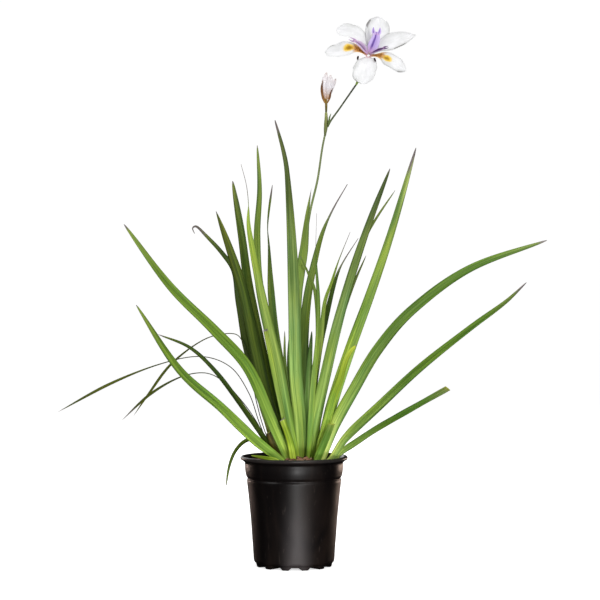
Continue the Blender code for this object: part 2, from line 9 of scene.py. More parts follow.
import bpy
import numpy as np
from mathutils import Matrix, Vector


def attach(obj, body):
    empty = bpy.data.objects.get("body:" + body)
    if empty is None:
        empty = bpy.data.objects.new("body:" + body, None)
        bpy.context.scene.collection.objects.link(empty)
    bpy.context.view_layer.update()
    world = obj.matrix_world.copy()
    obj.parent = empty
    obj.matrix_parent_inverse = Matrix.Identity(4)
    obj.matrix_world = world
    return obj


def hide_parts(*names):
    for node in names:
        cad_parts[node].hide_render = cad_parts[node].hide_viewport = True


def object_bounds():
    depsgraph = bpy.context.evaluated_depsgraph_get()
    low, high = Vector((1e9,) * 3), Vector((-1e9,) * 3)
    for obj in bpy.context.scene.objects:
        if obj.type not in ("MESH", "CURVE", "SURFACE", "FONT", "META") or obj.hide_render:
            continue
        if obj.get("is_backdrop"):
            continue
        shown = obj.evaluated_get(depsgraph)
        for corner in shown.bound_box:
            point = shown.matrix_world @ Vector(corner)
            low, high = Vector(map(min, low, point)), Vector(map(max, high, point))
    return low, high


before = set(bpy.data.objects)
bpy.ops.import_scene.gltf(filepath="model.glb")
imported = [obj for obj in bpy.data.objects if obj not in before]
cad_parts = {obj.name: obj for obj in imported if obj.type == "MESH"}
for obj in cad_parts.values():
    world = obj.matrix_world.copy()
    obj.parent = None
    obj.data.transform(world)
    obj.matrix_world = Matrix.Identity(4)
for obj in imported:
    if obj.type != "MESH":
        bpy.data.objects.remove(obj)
cad_low, cad_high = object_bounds()

MM = 0.001
TURN = 2.0 * math.pi

# ---- pot and potting mix -----------------------------------------------------------------------------
POT_HEIGHT = 167.0
RIM_RADIUS = 81.8
RIM_UNDER = 158.5
BODY_TOP_RADIUS = 75.6
KNEE_RADIUS = 61.2
KNEE_HEIGHT = 8.0
FOOT_RADIUS = 57.0
WALL = 1.8
WALL_BOTTOM = 11.0
WALL_TOP = 157.4
WALL_HOLLOW = 1.3
GROOVE_HEIGHT = 133.6
GROOVE_DEPTH = 1.80
GROOVE_SPREAD = 1.9
NOTCH_HEIGHT = 4.0
NOTCH_INNER_RADIUS = 30.0
FEET = 12
FOOT_PHASE = math.radians(17.0)
SOIL_TOP = 158.0
CHIP_COUNT = 620
FRONT_CHIP_COUNT = 26
CHIP_REACH = 70.0

# ---- fineness of the meshes --------------------------------------------------------------------------
POT_ROWS = 122
POT_COLUMNS = 288
MIX_ROWS = 46
MIX_COLUMNS = 180
STAGE_COLUMNS = 96
LEAF_ROWS = 118
LEAF_HALF_COLUMNS = 21
SPLINE_STEPS = 48
HEADING_REACH = 6
# points of the pot's profile from the top of its wall, over the rim, to where the inner wall is left even
EVEN_FROM = 60

# ---- leaves ------------------------------------------------------------------------------------------
# name, tone, greatest width, thickness, kind of tip, turn of the face at the foot and at the tip, and
# the middle line: its foot on the mix (x, y), then the points it passes, tip last
LEAVES = [
    ("leaf_01", "bright", 18.0, 1.7, "point", 8, 20, (-6.8, -22),
     [(-35.8, -32, 227), (-68.8, -54, 303), (-117, -86, 359), (-180.8, -122, 425), (-243.8, -160, 513)]),
    ("leaf_02", "bright", 15.6, 1.7, "point", 10, 24, (-12.8, -30),
     [(-59.2, -44, 195.4), (-107.6, -66, 244), (-168.6, -96, 302), (-228.8, -130, 397)]),
    ("leaf_03", "dark", 4.5, 1.3, "point", 0, 10, (-18.8, -20),
     [(-42.8, -23, 184), (-62.8, -25, 204.5), (-96.8, -31, 239)]),
    ("leaf_04", "dark", 9.0, 1.4, "point", -12, -25, (-21.8, 4),
     [(-55.8, 10, 207.6), (-84.2, 24, 246.5), (-122.8, 44, 295), (-162.8, 66, 330), (-213.8, 90, 350)]),
    ("leaf_05", "wiry", 3.1, 1.5, "point", 0, 0, (-27.8, 12),
     [(-51.8, 20, 211.6), (-69.8, 36, 260.4), (-99.8, 60, 300.4), (-147.8, 86, 315.4), (-212.8, 106, 302.6),
      (-292.8, 120, 270.8), (-377.8, 130, 225)]),
    ("leaf_06", "wiry", 3.1, 1.4, "point", 0, 0, (-26.8, 31),
     [(-45.8, 40, 203), (-57.8, 54, 243), (-70.8, 74, 301.4), (-84.2, 94, 343.6), (-104.8, 112, 351),
      (-145.8, 136, 340), (-197.8, 160, 301.4), (-234.8, 176, 253.6), (-261.8, 186, 215)]),
    ("leaf_07", "wiry", 3.0, 1.4, "point", 0, 0, (-23.8, 20),
     [(-60.8, 29, 221.6), (-82.8, 42, 250.4), (-110.8, 55, 278.4), (-139.8, 68, 290.4), (-179.8, 86, 282.6),
      (-227.8, 104, 255), (-273.8, 118, 213)]),
    ("leaf_08", "olive", 6.8, 1.4, "point", 0, 0, (-25.8, -14),
     [(-47.8, -10, 186), (-69.2, -2, 191.6), (-87.4, 6, 177), (-98.6, 12, 152), (-104.4, 15, 118)]),
    ("leaf_09", "dark", 13.5, 1.5, "point", -15, -35, (-17.8, 30),
     [(-50.8, 66, 261), (-74.4, 90, 326), (-88.4, 112, 399), (-96, 128, 449), (-115.8, 148, 479),
      (-144.8, 170, 510), (-158.8, 181, 523), (-165.3, 184.5, 520.5), (-161.8, 186, 511)]),
    ("leaf_10", "olive", 19.0, 1.6, "broad", -8, -18, (-15.8, 14),
     [(-40.8, 34, 244), (-59.8, 60, 326), (-79.8, 90, 415), (-100.8, 118, 479), (-125.8, 146, 547)]),
    ("leaf_11", "dark", 18.2, 1.6, "blunt", -8, -14, (-9.8, 21),
     [(-23.8, 38, 212), (-37.2, 53, 262), (-51.4, 81, 328), (-63.8, 104, 385), (-74.8, 124, 440),
      (-85.4, 156, 513), (-100.8, 196, 598)]),
    ("leaf_12", "pale", 17.4, 1.7, "thread", 4, 14, (4.2, -15),
     [(-9.8, -22, 230), (-26.4, -34, 317), (-47.4, -50, 407), (-64, -68, 493), (-67.4, -74, 519),
      (-67.2, -80, 546), (-70.2, -87, 574), (-77.8, -94, 604)]),
    ("leaf_13", "pale", 8.0, 1.4, "cut", 0, 6, (-1.8, -23),
     [(-17.2, -36, 235), (-30.8, -50, 299), (-42.6, -64, 360)]),
    ("leaf_14", "mid", 15.8, 1.5, "point", -6, -10, (4.2, 0),
     [(-12.8, 14, 243), (-34.8, 32, 335), (-54.2, 56, 427), (-58.2, 78, 506), (-54.8, 98, 577),
      (-58.8, 120, 650)]),
    ("leaf_15", "dark", 14.4, 1.5, "twist", 0, -140, (4.2, 8),
     [(-9.8, 28, 238), (-28.4, 60, 345), (-36.6, 86, 420), (-40.2, 106, 483), (-42.2, 118, 528),
      (-35.1, 136, 588)]),
    ("leaf_16", "mid", 21.0, 1.8, "lance", 0, 10, (11.2, -8),
     [(9.2, -13, 222), (2.8, -20, 291), (0.6, -32, 374), (-2.8, -52, 479), (-9, -76, 579),
      (-14, -90, 617), (-27.8, -104, 668)]),
    ("leaf_17", "lime", 11.0, 1.5, "cut", 4, 8, (0.2, -31), [(-5.8, -37, 192), (-17.4, -43, 225)]),
    ("leaf_18", "mid", 8.6, 1.4, "point", -20, -20, (4.2, 17),
     [(-6.8, 64, 236), (-14.8, 116, 301), (-15.8, 172, 354)]),
    ("leaf_19", "dark", 9.5, 1.4, "point", -10, -30, (12.2, 20),
     [(2.2, 38, 230), (-7.8, 62, 302), (-4.2, 92, 364), (2.2, 118, 410)]),
    ("leaf_20", "mid", 15.6, 1.6, "spear", -4, -10, (13.2, 4),
     [(7.2, 11, 251), (2.7, 22, 343), (4.6, 30, 410), (9.6, 37, 449), (14.8, 43, 481), (17.9, 49, 512),
      (21.2, 55, 543), (26.7, 60, 578)]),
    ("leaf_21", "dark", 17.5, 1.6, "whip", -10, -24, (19.2, 15),
     [(15.2, 40, 250), (14.2, 64, 334), (20.2, 86, 404), (31.2, 106, 461), (44.2, 124, 509), (61.2, 138, 548),
      (85.2, 152, 590)]),
    ("leaf_22", "pale", 9.5, 1.5, "thread", 12, 30, (21.2, -19),
     [(28.2, -38, 269), (35.2, -60, 344), (36.2, -80, 404), (32.2, -104, 470), (33.2, -128, 530)]),
    ("leaf_23", "mid", 9.0, 1.4, "point", 0, 0, (23.8, -4.6),
     [(30.6, 1.6, 274), (36.2, 12, 350), (32.2, 20, 415), (21.2, 26, 446), (9.2, 30, 472)]),
    ("leaf_24", "blue", 12.5, 1.5, "point", 0, 0, (18.6, -1),
     [(21.4, 6.6, 251), (23.8, 22, 309), (27.2, 38, 356)]),
    ("leaf_25", "mid", 17.6, 1.7, "point", 4, 8, (25.2, -11),
     [(33.4, -14, 225), (49.2, -18, 298), (65.2, -24, 366), (86.6, -34, 442), (114.2, -46, 524),
      (143.2, -60, 600)]),
    ("leaf_26", "olive", 8.6, 1.4, "point", 0, 0, (29.2, 2),
     [(41.2, 10, 244), (61.2, 20, 327), (71.2, 26, 370), (90.6, 34, 426), (111.2, 42, 473)]),
    ("leaf_27", "dark", 9.0, 1.4, "point", -12, -25, (29.2, 22),
     [(37.2, 60, 241), (59.2, 96, 325), (88.2, 138, 428), (113.2, 166, 501), (131.6, 180, 535),
      (164.2, 196, 583)]),
    ("leaf_28", "dark", 13.0, 1.4, "whip", -10, -20, (24.2, 18),
     [(27.2, 50, 249), (38.2, 84, 326), (50.6, 110, 379), (63.2, 134, 428), (75.4, 150, 460),
      (103.2, 172, 504)]),
    ("leaf_29", "pale", 9.5, 1.3, "whip", -6, -14, (23.6, 10),
     [(27.2, 30, 258), (40.2, 52, 334), (47.4, 72, 399), (58.6, 84, 432), (70.2, 98, 467), (88.6, 116, 512)]),
    ("leaf_30", "bright", 17.8, 1.8, "point", -4, -10, (33.8, -8.4),
     [(59, -8, 251), (86.8, -2, 334), (118.6, 14, 419), (150.8, 36, 512), (190.2, 72, 642)]),
    ("leaf_31", "lime", 14.6, 1.6, "blunt", 6, 10, (34.2, -28),
     [(57.2, -37, 252), (68.4, -44, 284), (76.6, -49, 313), (83.2, -52, 326), (93.2, -54, 337)]),
    ("leaf_32", "bright", 18.0, 1.7, "point", 0, 10, (40.2, -21),
     [(62.2, -24, 217), (88.8, -22, 266), (127.6, -15, 330.4), (180.4, -4, 389.8), (269.2, 12, 452.4),
      (389.2, 30, 496)]),
    ("leaf_33", "bright", 14.6, 1.6, "point", 16, 26, (49.2, -31),
     [(57.8, -33, 167.4), (79.2, -45, 199), (125.6, -72, 246), (185.8, -108, 305.6), (255.2, -146, 364),
      (302.2, -174, 401), (330.2, -192, 429)]),
    ("leaf_34", "bright", 10.5, 1.5, "cut", 14, 20, (58.2, -21),
     [(70.8, -26, 173.8), (93.2, -34, 190.2), (123.2, -49, 211.4), (171.8, -78, 242), (225.2, -112, 275)]),
    ("leaf_35", "bright", 12.0, 1.6, "cut", 6, 8, (32.2, -38), [(46.2, -46, 193), (56.2, -51, 219)]),
    ("leaf_36", "lime", 6.0, 1.4, "point", 4, 8, (-18.8, -38),
     [(-28.8, -38, 164.5), (-46.8, -36, 167.5), (-64.8, -30, 170)]),
    ("leaf_37", "olive", 8.0, 1.4, "blunt", 0, 8, (-16.8, 9),
     [(-33.8, 10, 190), (-42.8, 12, 218), (-54.3, 15, 248)]),
    ("dry_sheath", "dry", 13.0, 1.6, "cut", 0, 8, (-13.8, -2), [(-29.8, -3, 183), (-37.4, -5, 204)]),
]
# a leaf's width where it leaves the mix, as a share of its greatest width
FOOT_SHARE = 0.62
# the rows of a leaf that run down into the mix: shares of SUNK_LENGTH below its foot
SUNK_ROWS = [-0.03, -0.018, -0.006]
SUNK_LENGTH = 300.0
# a half blade has one rib for each RIB_WIDTH of the whole blade's width; fine lines are LINE_PITCH metres
# apart
RIB_WIDTH = 3.4
LINE_PITCH = 0.00205
# how far down from its tip a leaf has dried, as a share of its length
DRY_TIPS = {"leaf_01": 0.03, "leaf_04": 0.04, "leaf_05": 0.03, "leaf_06": 0.03, "leaf_07": 0.08,
            "leaf_08": 0.05, "leaf_09": 0.10, "leaf_12": 0.15, "leaf_15": 0.06, "leaf_16": 0.04,
            "leaf_18": 0.06, "leaf_19": 0.06, "leaf_20": 0.04, "leaf_21": 0.17, "leaf_22": 0.15,
            "leaf_28": 0.15, "leaf_29": 0.16, "leaf_30": 0.085, "leaf_32": 0.03, "leaf_33": 0.06}
OTHER_DRY_TIP = 0.015
# pieces whose cut end shows a yellowish green
CUT_ENDS = ("leaf_34", "leaf_35", "dry_sheath")

# look: the leaf's colour at its foot, low, middle, high and at its tip. The dark, olive, moss and deep
# looks are partly the leaves' own darker green and partly painted shade for leaves that lie back in the
# clump. Most looks are lighter at the foot and low on the leaf: partly the leaves' paler bases and partly
# painted light that lifts the shade deep in the crown. The tan look is lightened wholly as painted light.
LOOKS = {
    "bright": ((160, 194, 74), (130, 164, 58), (112, 148, 48), (106, 138, 44), (138, 156, 66)),
    "arch": ((204, 222, 118), (144, 174, 80), (100, 134, 46), (100, 136, 44), (126, 140, 72)),
    "tall": ((146, 174, 62), (156, 186, 84), (142, 172, 92), (92, 108, 50), (92, 102, 56)),
    "fresh": ((176, 206, 84), (176, 206, 88), (126, 160, 62), (138, 162, 76), (164, 180, 98)),
    "mid": ((140, 172, 58), (136, 168, 70), (130, 162, 74), (110, 134, 52), (132, 150, 72)),
    "pale": ((150, 182, 62), (122, 156, 66), (156, 180, 86), (158, 184, 76), (146, 164, 68)),
    "lime": ((184, 214, 66), (196, 222, 84), (148, 176, 48), (140, 164, 40), (170, 190, 70)),
    "moss": ((118, 148, 62), (126, 156, 72), (92, 118, 44), (112, 134, 58), (124, 142, 66)),
    "deep": ((96, 134, 48), (92, 116, 44), (84, 102, 30), (96, 118, 42), (122, 136, 66)),
    "dark": ((84, 112, 34), (76, 98, 28), (68, 88, 22), (84, 106, 36), (116, 132, 62)),
    "olive": ((62, 78, 20), (60, 78, 20), (76, 96, 24), (92, 108, 30), (106, 116, 44)),
    "tan": ((150, 140, 64), (158, 152, 66), (150, 150, 62), (132, 138, 60), (120, 116, 60)),
    "blue": ((118, 158, 72), (140, 178, 96), (130, 166, 88), (116, 150, 78), (96, 118, 72)),
    "wiry": ((26, 30, 8), (38, 42, 14), (66, 70, 30), (92, 102, 28), (96, 100, 40)),
    "dry": ((84, 82, 28), (114, 112, 42), (122, 116, 46), (116, 102, 44), (84, 68, 38)),
}
# the leaves whose look is not that of their own tone
OWN_LOOKS = {"leaf_16": "tall", "leaf_25": "tall", "leaf_30": "fresh", "leaf_32": "arch", "leaf_33": "arch",
             "leaf_34": "arch", "leaf_15": "moss", "leaf_19": "moss", "leaf_21": "moss", "leaf_11": "deep",
             "leaf_22": "mid", "leaf_37": "tan"}

# ---- flower stem -------------------------------------------------------------------------------------
STEM_LINE = [(16.2, 9, 158.0), (8.2, 27, 327), (9.2, 40, 404), (15.2, 55, 474), (24.2, 63, 539),
             (36.2, 69, 591), (43.2, 72, 638), (47.6, 74, 661)]
SPATHE_LINE = [(47.9, 74, 659.4), (48.9, 73.4, 672), (49.8, 72.6, 685), (49.7, 71.4, 698.4)]
SMALL_BRACT_LINE = [(52.8, 67.6, 676), (54.4, 66.4, 683.6), (55.2, 66, 689), (57.5, 66, 694.6)]
PEDICEL_LINE = [(51.8, 72.6, 674), (58, 70, 685.2), (69.2, 61, 700), (83.2, 50, 719.4), (96.4, 39.4, 737.6)]
OVARY_LINE = [(95.2, 40.2, 735.4), (99.2, 36, 744), (103.7, 30.6, 754.5), (109.2, 24, 767),
              (113.2, 19.0, 775)]

# ---- flower ------------------------------------------------------------------------------------------
FLOWER_CENTRE = (114, 18.0, 778.0)
# the reach at which an outer tepal's orange claw ends, and the share of a petal that glows from behind
CLAW_END = 0.32
PETAL_GLOW = 0.34
# name, the middle line from claw to tip, widths spread evenly over it, and which way the face looks
TEPALS = [
    ("outer_tepal_left", [(106.4, 15.6, 782.0), (98.2, 12, 786.4), (89.2, 10, 788.4), (78.2, 10.5, 786.6),
                          (64.2, 15, 784.8), (47.2, 22, 784.2)],
     (6.5, 7.5, 16.0, 28.0, 32.0, 32.0, 27.0, 14.0), (0.05, -0.86, 0.5)),
    ("outer_tepal_right", [(120.7, 14.6, 777.0), (128.6, 11.5, 777.6), (137.4, 8.6, 775.8), (147.2, 6, 770.3),
                           (158.2, 4, 762.6), (170.6, 5, 753)],
     (6.5, 7.0, 15.0, 26.0, 29.0, 28.5, 24.0, 13.0), (0.2, -0.80, 0.56)),
    ("outer_tepal_top", [(117, 22, 785.8), (120, 25, 793), (124, 29.6, 803.5), (129.4, 39, 820),
                         (131.6, 53, 843)],
     (6.0, 10.0, 26.0, 35.0, 38.0, 36.0, 29.0, 15.0), (-0.1, -0.92, 0.38)),
    ("inner_tepal_front", [(112.4, 10.2, 771.6), (110.6, 3, 766.4), (107.2, -10, 755.4), (105.2, -22, 741.4),
                           (104.2, -28, 729)],
     (6.0, 22.0, 33.0, 37.0, 37.0, 36.0, 31.0, 20.0), (-0.05, -0.74, 0.67)),
    ("inner_tepal_left", [(108.6, 22, 786.6), (105.8, 24.6, 797.5), (98.7, 28, 809.5), (85.7, 33, 817.6),
                          (64.8, 41, 821)],
     (5.0, 9.0, 17.0, 25.0, 28.0, 28.0, 25.0, 15.0), (0.1, -0.92, 0.38)),
    ("inner_tepal_right", [(121.8, 18.4, 783.4), (131.8, 18, 790.8), (147.2, 17.6, 797.8), (166.2, 20, 804.6),
                           (187.8, 25, 811)],
     (5.0, 10.0, 21.0, 27.0, 26.5, 22.0, 14.0, 4.0), (-0.25, -0.90, 0.36)),
]
# name, middle line, widths and face: the flat violet style arms above the outer tepals' claws
STYLE_ARMS = [
    ("style_arm_left", [(110.8, 10.6, 784.4), (103.2, 7, 792), (95.9, 6.4, 797.3), (89.2, 8, 800.7)],
     (5.0, 11.0, 12.5, 8.0, 3.0), (0.1, -0.80, 0.6)),
    ("style_arm_right", [(118.6, 9.4, 783.0), (128.1, 6, 785), (139.5, 4, 788.4)],
     (5.0, 8.0, 9.0, 7.5, 3.4), (0.0, -0.62, 0.78)),
    ("style_arm_top", [(117.8, 12.6, 788.0), (122, 12.4, 795.6), (125.2, 14, 805.4), (126.1, 17, 814.6)],
     (7.0, 16.0, 16.0, 12.0, 9.0), (0.0, -0.92, 0.3)),
]
# name, two ends: the dark anthers that lie under the side style arms
ANTHERS = [
    ("anther_left", (98, 5.0, 776.4), (96.6, 3.4, 769.8)),
    ("anther_right", (121.6, 0.4, 772.6), (124, -2.0, 766.4)),
]
BUD_STALK_LINE = [(49.7, 70.8, 696.6), (49.8, 70.2, 706), (49.6, 70, 718)]
BUD_VALVE_LEFT = [(47.8, 69.8, 711.0), (44.2, 68.8, 722.5), (42.8, 68.2, 734), (44.6, 67.6, 747.5)]
BUD_VALVE_RIGHT = [(51.8, 69.6, 711.0), (55.4, 68.4, 720), (56.8, 67.8, 727.4), (60.4, 67, 734)]
# the crumpled petals of the spent bud: middle line and widths
BUD_PETALS = [
    ([(49.6, 70, 716), (49.1, 69.8, 724), (48.2, 69.4, 737), (48.6, 69, 750), (50.6, 68.6, 759)],
     (4.0, 8.0, 10.5, 10.0, 6.5)),
    ([(50.4, 69, 717), (52.8, 67, 727), (54.6, 66, 738), (56.2, 65, 750), (56.8, 65, 755)],
     (3.0, 8.0, 11.5, 11.0, 7.0)),
    ([(51.4, 70, 718), (55.8, 70, 730), (59.8, 69.4, 740), (65.2, 69, 749.5)],
     (3.0, 7.0, 9.0, 8.5, 5.0)),
]


def paint(red, green, blue):
    """A colour as on a paint card, 0 to 255, made linear."""
    card = np.array([red, green, blue], float) / 255.0
    low, high = card / 12.92, ((card + 0.055) / 1.055) ** 2.4
    return (*np.where(card <= 0.04045, low, high).tolist(), 1.0)


class Wire:
    """One output of a shader node. Arithmetic on it, with numbers or wires, adds the Math nodes."""

    def __init__(self, finish, socket):
        self.finish, self.socket = finish, socket

    def math(self, operation, first, second=0.0, clip=False):
        """A Math node of that operation on two numbers or wires; clip holds its result in 0 to 1."""
        settings = {"operation": operation, "use_clamp": clip}
        return self.finish.node("ShaderNodeMath", settings, {0: first, 1: second})

    def __add__(self, other):
        return self.math("ADD", self, other)

    def __sub__(self, other):
        return self.math("SUBTRACT", self, other)

    def __rsub__(self, other):
        return self.math("SUBTRACT", other, self)

    def __mul__(self, other):
        return self.math("MULTIPLY", self, other)

    def __truediv__(self, other):
        return self.math("DIVIDE", self, other)

    def __pow__(self, other):
        return self.math("POWER", self, other)

    __radd__ = __add__
    __rmul__ = __mul__

    def size(self):
        """How far it is from nought, whatever its sign."""
        return self.math("ABSOLUTE", self)

    def cosine(self):
        """Its cosine, read as an angle in radians."""
        return self.math("COSINE", self)

    def clipped(self):
        """Itself, held in 0 to 1."""
        return self.math("ADD", self, 0.0, clip=True)

    def eased(self, low, high):
        """0 at low, 1 at high and smooth between; low may be the larger."""
        sockets = {"Value": self, "From Min": low, "From Max": high}
        return self.finish.node("ShaderNodeMapRange", {"interpolation_type": "SMOOTHSTEP"}, sockets)


class Finish:
    """A material being made. node() adds every shader node."""

    def __init__(self, name):
        self.material = bpy.data.materials.new(name)
        self.material.use_nodes = True
        self.tree = self.material.node_tree
        self.tree.nodes.clear()

    def node(self, kind, settings=None, sockets=None, out=0):
        """A node of that kind: its settings first, then a number, colour or wire for each socket."""
        made = self.tree.nodes.new(kind)
        for key, value in (settings or {}).items():
            if key == "stops":
                stops = made.color_ramp.elements
                stops[0].position, stops[1].position = value[0][0], value[-1][0]
                for place, _ in value[1:-1]:
                    stops.new(place)
                for stop, (_, colour) in zip(stops, value):
                    stop.color = colour
            else:
                setattr(made, key, value)
        for key, value in (sockets or {}).items():
            if isinstance(value, Wire):
                self.tree.links.new(value.socket, made.inputs[key])
            else:
                made.inputs[key].default_value = value
        return Wire(self, made.outputs[out]) if made.outputs else None

    def mark(self, name):
        """A number kept on the piece's own points."""
        return self.node("ShaderNodeAttribute", {"attribute_name": name}, out=2)

    def uv(self):
        """Metres across and along the piece's own surface."""
        return self.node("ShaderNodeUVMap", {"uv_map": "UVMap"})

    def place(self):
        """Where the point is on the object, in metres."""
        return self.node("ShaderNodeTexCoord", out=3)

    def part(self, vector, axis):
        """One number of a vector: 0, 1 or 2 for X, Y or Z."""
        return self.node("ShaderNodeSeparateXYZ", {}, {0: vector}, axis)

    def noise(self, where, per_metre, detail=3.0, twist=0.0):
        """Cloudy noise round a half, with per_metre lumps to the metre along each axis."""
        at = self.node("ShaderNodeVectorMath", {"operation": "MULTIPLY"}, {0: where, 1: per_metre})
        sockets = {"Vector": at, "Scale": 1.0, "Detail": detail, "Roughness": 0.5, "Distortion": twist}
        return self.node("ShaderNodeTexNoise", {}, sockets)

    def ramp(self, share, stops):
        """The colour at share between the stops, each a place and a colour."""
        return self.node("ShaderNodeValToRGB", {"stops": stops}, {0: share})

    def mix(self, share, first, second, way="MIX"):
        """The first colour with a share of the second laid over it, or multiplied into it."""
        settings = {"data_type": "RGBA", "blend_type": way, "clamp_factor": True}
        return self.node("ShaderNodeMix", settings, {0: share, 6: first, 7: second}, 2)

    def bump(self, height, depth):
        """The surface's direction once it is raised by height times depth, in metres."""
        return self.node("ShaderNodeBump", {}, {"Height": height, "Distance": depth, "Strength": 1.0})

    def done(self, colour, roughness, normal=None, steady=None, glow=None, through=None):
        """The finished surface. steady holds settings that are the same all over it, and glow is the
        share of it that lets light of the colour through come from behind."""
        sockets = {"Base Color": colour, "Roughness": roughness, **(steady or {})}
        if normal:
            sockets["Normal"] = normal
        shader = self.node("ShaderNodeBsdfPrincipled", {}, sockets)
        if glow:
            behind = self.node("ShaderNodeBsdfTranslucent", {}, {"Color": through})
            shader = self.node("ShaderNodeMixShader", {}, {0: glow, 1: shader, 2: behind})
        self.node("ShaderNodeOutputMaterial", {}, {"Surface": shader})
        return self.material


# ---- shapes ------------------------------------------------------------------------------------------
def unit(vectors):
    """The vectors, each divided by its length."""
    return vectors / np.maximum(np.linalg.norm(vectors, axis=-1, keepdims=True), 1e-9)


def spline(through, shares):
    """Places and directions at shares of the length of a smooth curve through the points, and its length.

    Each stretch is a cubic, timed by the square root of the distance between points. Its slope at a
    point is that of the line from the point before to the point after. A direction is that of the line
    between the places HEADING_REACH steps before and after.
    """
    p = np.array(through, float)
    last = len(p) - 1
    t = np.concatenate([[0.0], np.cumsum(np.linalg.norm(np.diff(p, axis=0), axis=1) ** 0.5)])
    before, after = np.maximum(np.arange(last + 1) - 1, 0), np.minimum(np.arange(last + 1) + 1, last)
    slope = (p[after] - p[before]) / (t[after] - t[before])[:, None]
    u = np.linspace(0.0, last, SPLINE_STEPS * last + 1)
    i = np.minimum(u.astype(int), last - 1)
    s, span = (u - i)[:, None], (t[i + 1] - t[i])[:, None]
    fine = (p[i] * (1 + 2 * s) * (1 - s) ** 2 + slope[i] * span * s * (1 - s) ** 2
            + p[i + 1] * s * s * (3 - 2 * s) + slope[i + 1] * span * s * s * (s - 1))
    run = np.concatenate([[0.0], np.cumsum(np.linalg.norm(np.diff(fine, axis=0), axis=1))])
    low = np.maximum(np.arange(len(u)) - HEADING_REACH, 0)
    high = np.minimum(np.arange(len(u)) + HEADING_REACH, len(u) - 1)
    heading = unit(fine[high] - fine[low])
    at = np.asarray(shares) * run[-1]
    place = np.stack([np.interp(at, run, fine[:, k]) for k in range(3)], 1)
    way = unit(np.stack([np.interp(at, run, heading[:, k]) for k in range(3)], 1))
    return place, way, run[-1]


def section(half_columns, even, crowded):
    """A closed walk across a thin section and back: s runs -1 to 1 and back to -1, and side is 1 on the
    way out, -1 on the way back and 0 at both margins. s is even times a straight run, less crowded times
    a half turn's cosine, which brings points together at the margins."""
    t = np.linspace(0.0, 1.0, half_columns + 1)
    s = even * (2.0 * t - 1.0) - crowded * np.cos(math.pi * t)
    side = np.concatenate([np.ones(half_columns), -np.ones(half_columns)])
    side[0], side[half_columns] = 0.0, 0.0
    return np.concatenate([s[:-1], s[::-1][:-1]]), side


def swept(place, across, aside, face, lift):
    """Each row's place, moved by the grid aside along the row's across, and by lift along its face."""
    return place[:, None, :] + across[:, None, :] * aside[..., None] + face[:, None, :] * lift[..., None]


def angles(count):
    """Angles spread evenly over one turn."""
    return np.arange(count) / count * TURN


def turned(radius, height, around):
    """Points at a radius and a height, turned round Z."""
    return np.stack(np.broadcast_arrays(radius * np.cos(around), radius * np.sin(around), height), -1)


def waves(x, y, seed, count=6):
    """Smooth made-up noise, mostly from -1 to 1: a sum of count sines of x and y, whose pitches and
    turns are drawn by the seed."""
    draw = np.random.default_rng(seed)
    total = np.zeros(np.broadcast(x, y).shape)
    for _ in range(count):
        a, b, c = draw.uniform(-1.6, 1.6), draw.uniform(-1.6, 1.6), draw.uniform(0, TURN)
        total = total + np.sin(a * x + b * y + c)
    return total / count ** 0.5 / 1.3


def capped(grid):
    """A grid's rows end to end, with the mean of its first row and of its last row added."""
    flat = grid.reshape(-1, *grid.shape[2:])
    return np.concatenate([flat, grid[:1].mean(1), grid[-1:].mean(1)])


def wrapped(rows, columns):
    """The faces of a tube of rows rings, closed round and brought to a point at both ends."""
    i, k = np.arange(rows - 1)[:, None] * columns, np.arange(columns)[None, :]
    n = (k + 1) % columns
    quads = np.stack([i + k, i + n, i + columns + n, i + columns + k], -1).reshape(-1, 4)
    k, n, top = k[0], n[0], (rows - 1) * columns
    first = np.stack([n, k, np.full(columns, rows * columns)], 1)
    last = np.stack([top + k, top + n, np.full(columns, rows * columns + 1)], 1)
    return quads, np.concatenate([first, last])


def piece(name, stands_for, material, shells, marks=None, uv=None, sharp=None):
    """A finished object from closed tubes, each a grid of points (rows, columns, 3) in millimetres,
    held within the CAD box.

    marks maps a name to one grid of numbers for each tube, and uv gives a grid of pairs for each. A
    tube whose volume comes out negative has its faces turned over.
    """
    points, faces, start = [], [], 0
    for grid in shells:
        flat = capped(grid)
        quads, tris = wrapped(*grid.shape[:2])
        a, b, c, d = (flat[quads[:, k]] for k in range(4))
        e, f, g = (flat[tris[:, k]] for k in range(3))
        volume = (np.cross(a, b) * c).sum() + (np.cross(a, c) * d).sum() + (np.cross(e, f) * g).sum()
        if volume < 0.0:
            quads, tris = quads[:, ::-1], tris[:, ::-1]
        faces += (quads + start).tolist() + (tris + start).tolist()
        points.append(flat)
        start += len(flat)
    mesh = bpy.data.meshes.new(name)
    placed = np.clip(np.concatenate(points) * MM, np.array(cad_low), np.array(cad_high))
    mesh.from_pydata(placed.tolist(), [], faces)
    for key, grids in (marks or {}).items():
        values = np.concatenate([capped(g) for g in grids]).astype(np.float32)
        mesh.attributes.new(key, "FLOAT", "POINT").data.foreach_set("value", values)
    if uv:
        pairs = np.concatenate([capped(g) for g in uv]).astype(np.float32)
        corner = np.empty(len(mesh.loops), np.int32)
        mesh.loops.foreach_get("vertex_index", corner)
        mesh.uv_layers.new(name="UVMap").data.foreach_set("uv", pairs[corner].ravel())
    mesh.materials.append(material)
    mesh.shade_smooth()
    if sharp:
        mesh.set_sharp_from_angle(angle=math.radians(sharp))
    made = bpy.data.objects.new(name, mesh)
    bpy.context.scene.collection.objects.link(made)
    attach(made, "root")
    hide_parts(*stands_for)


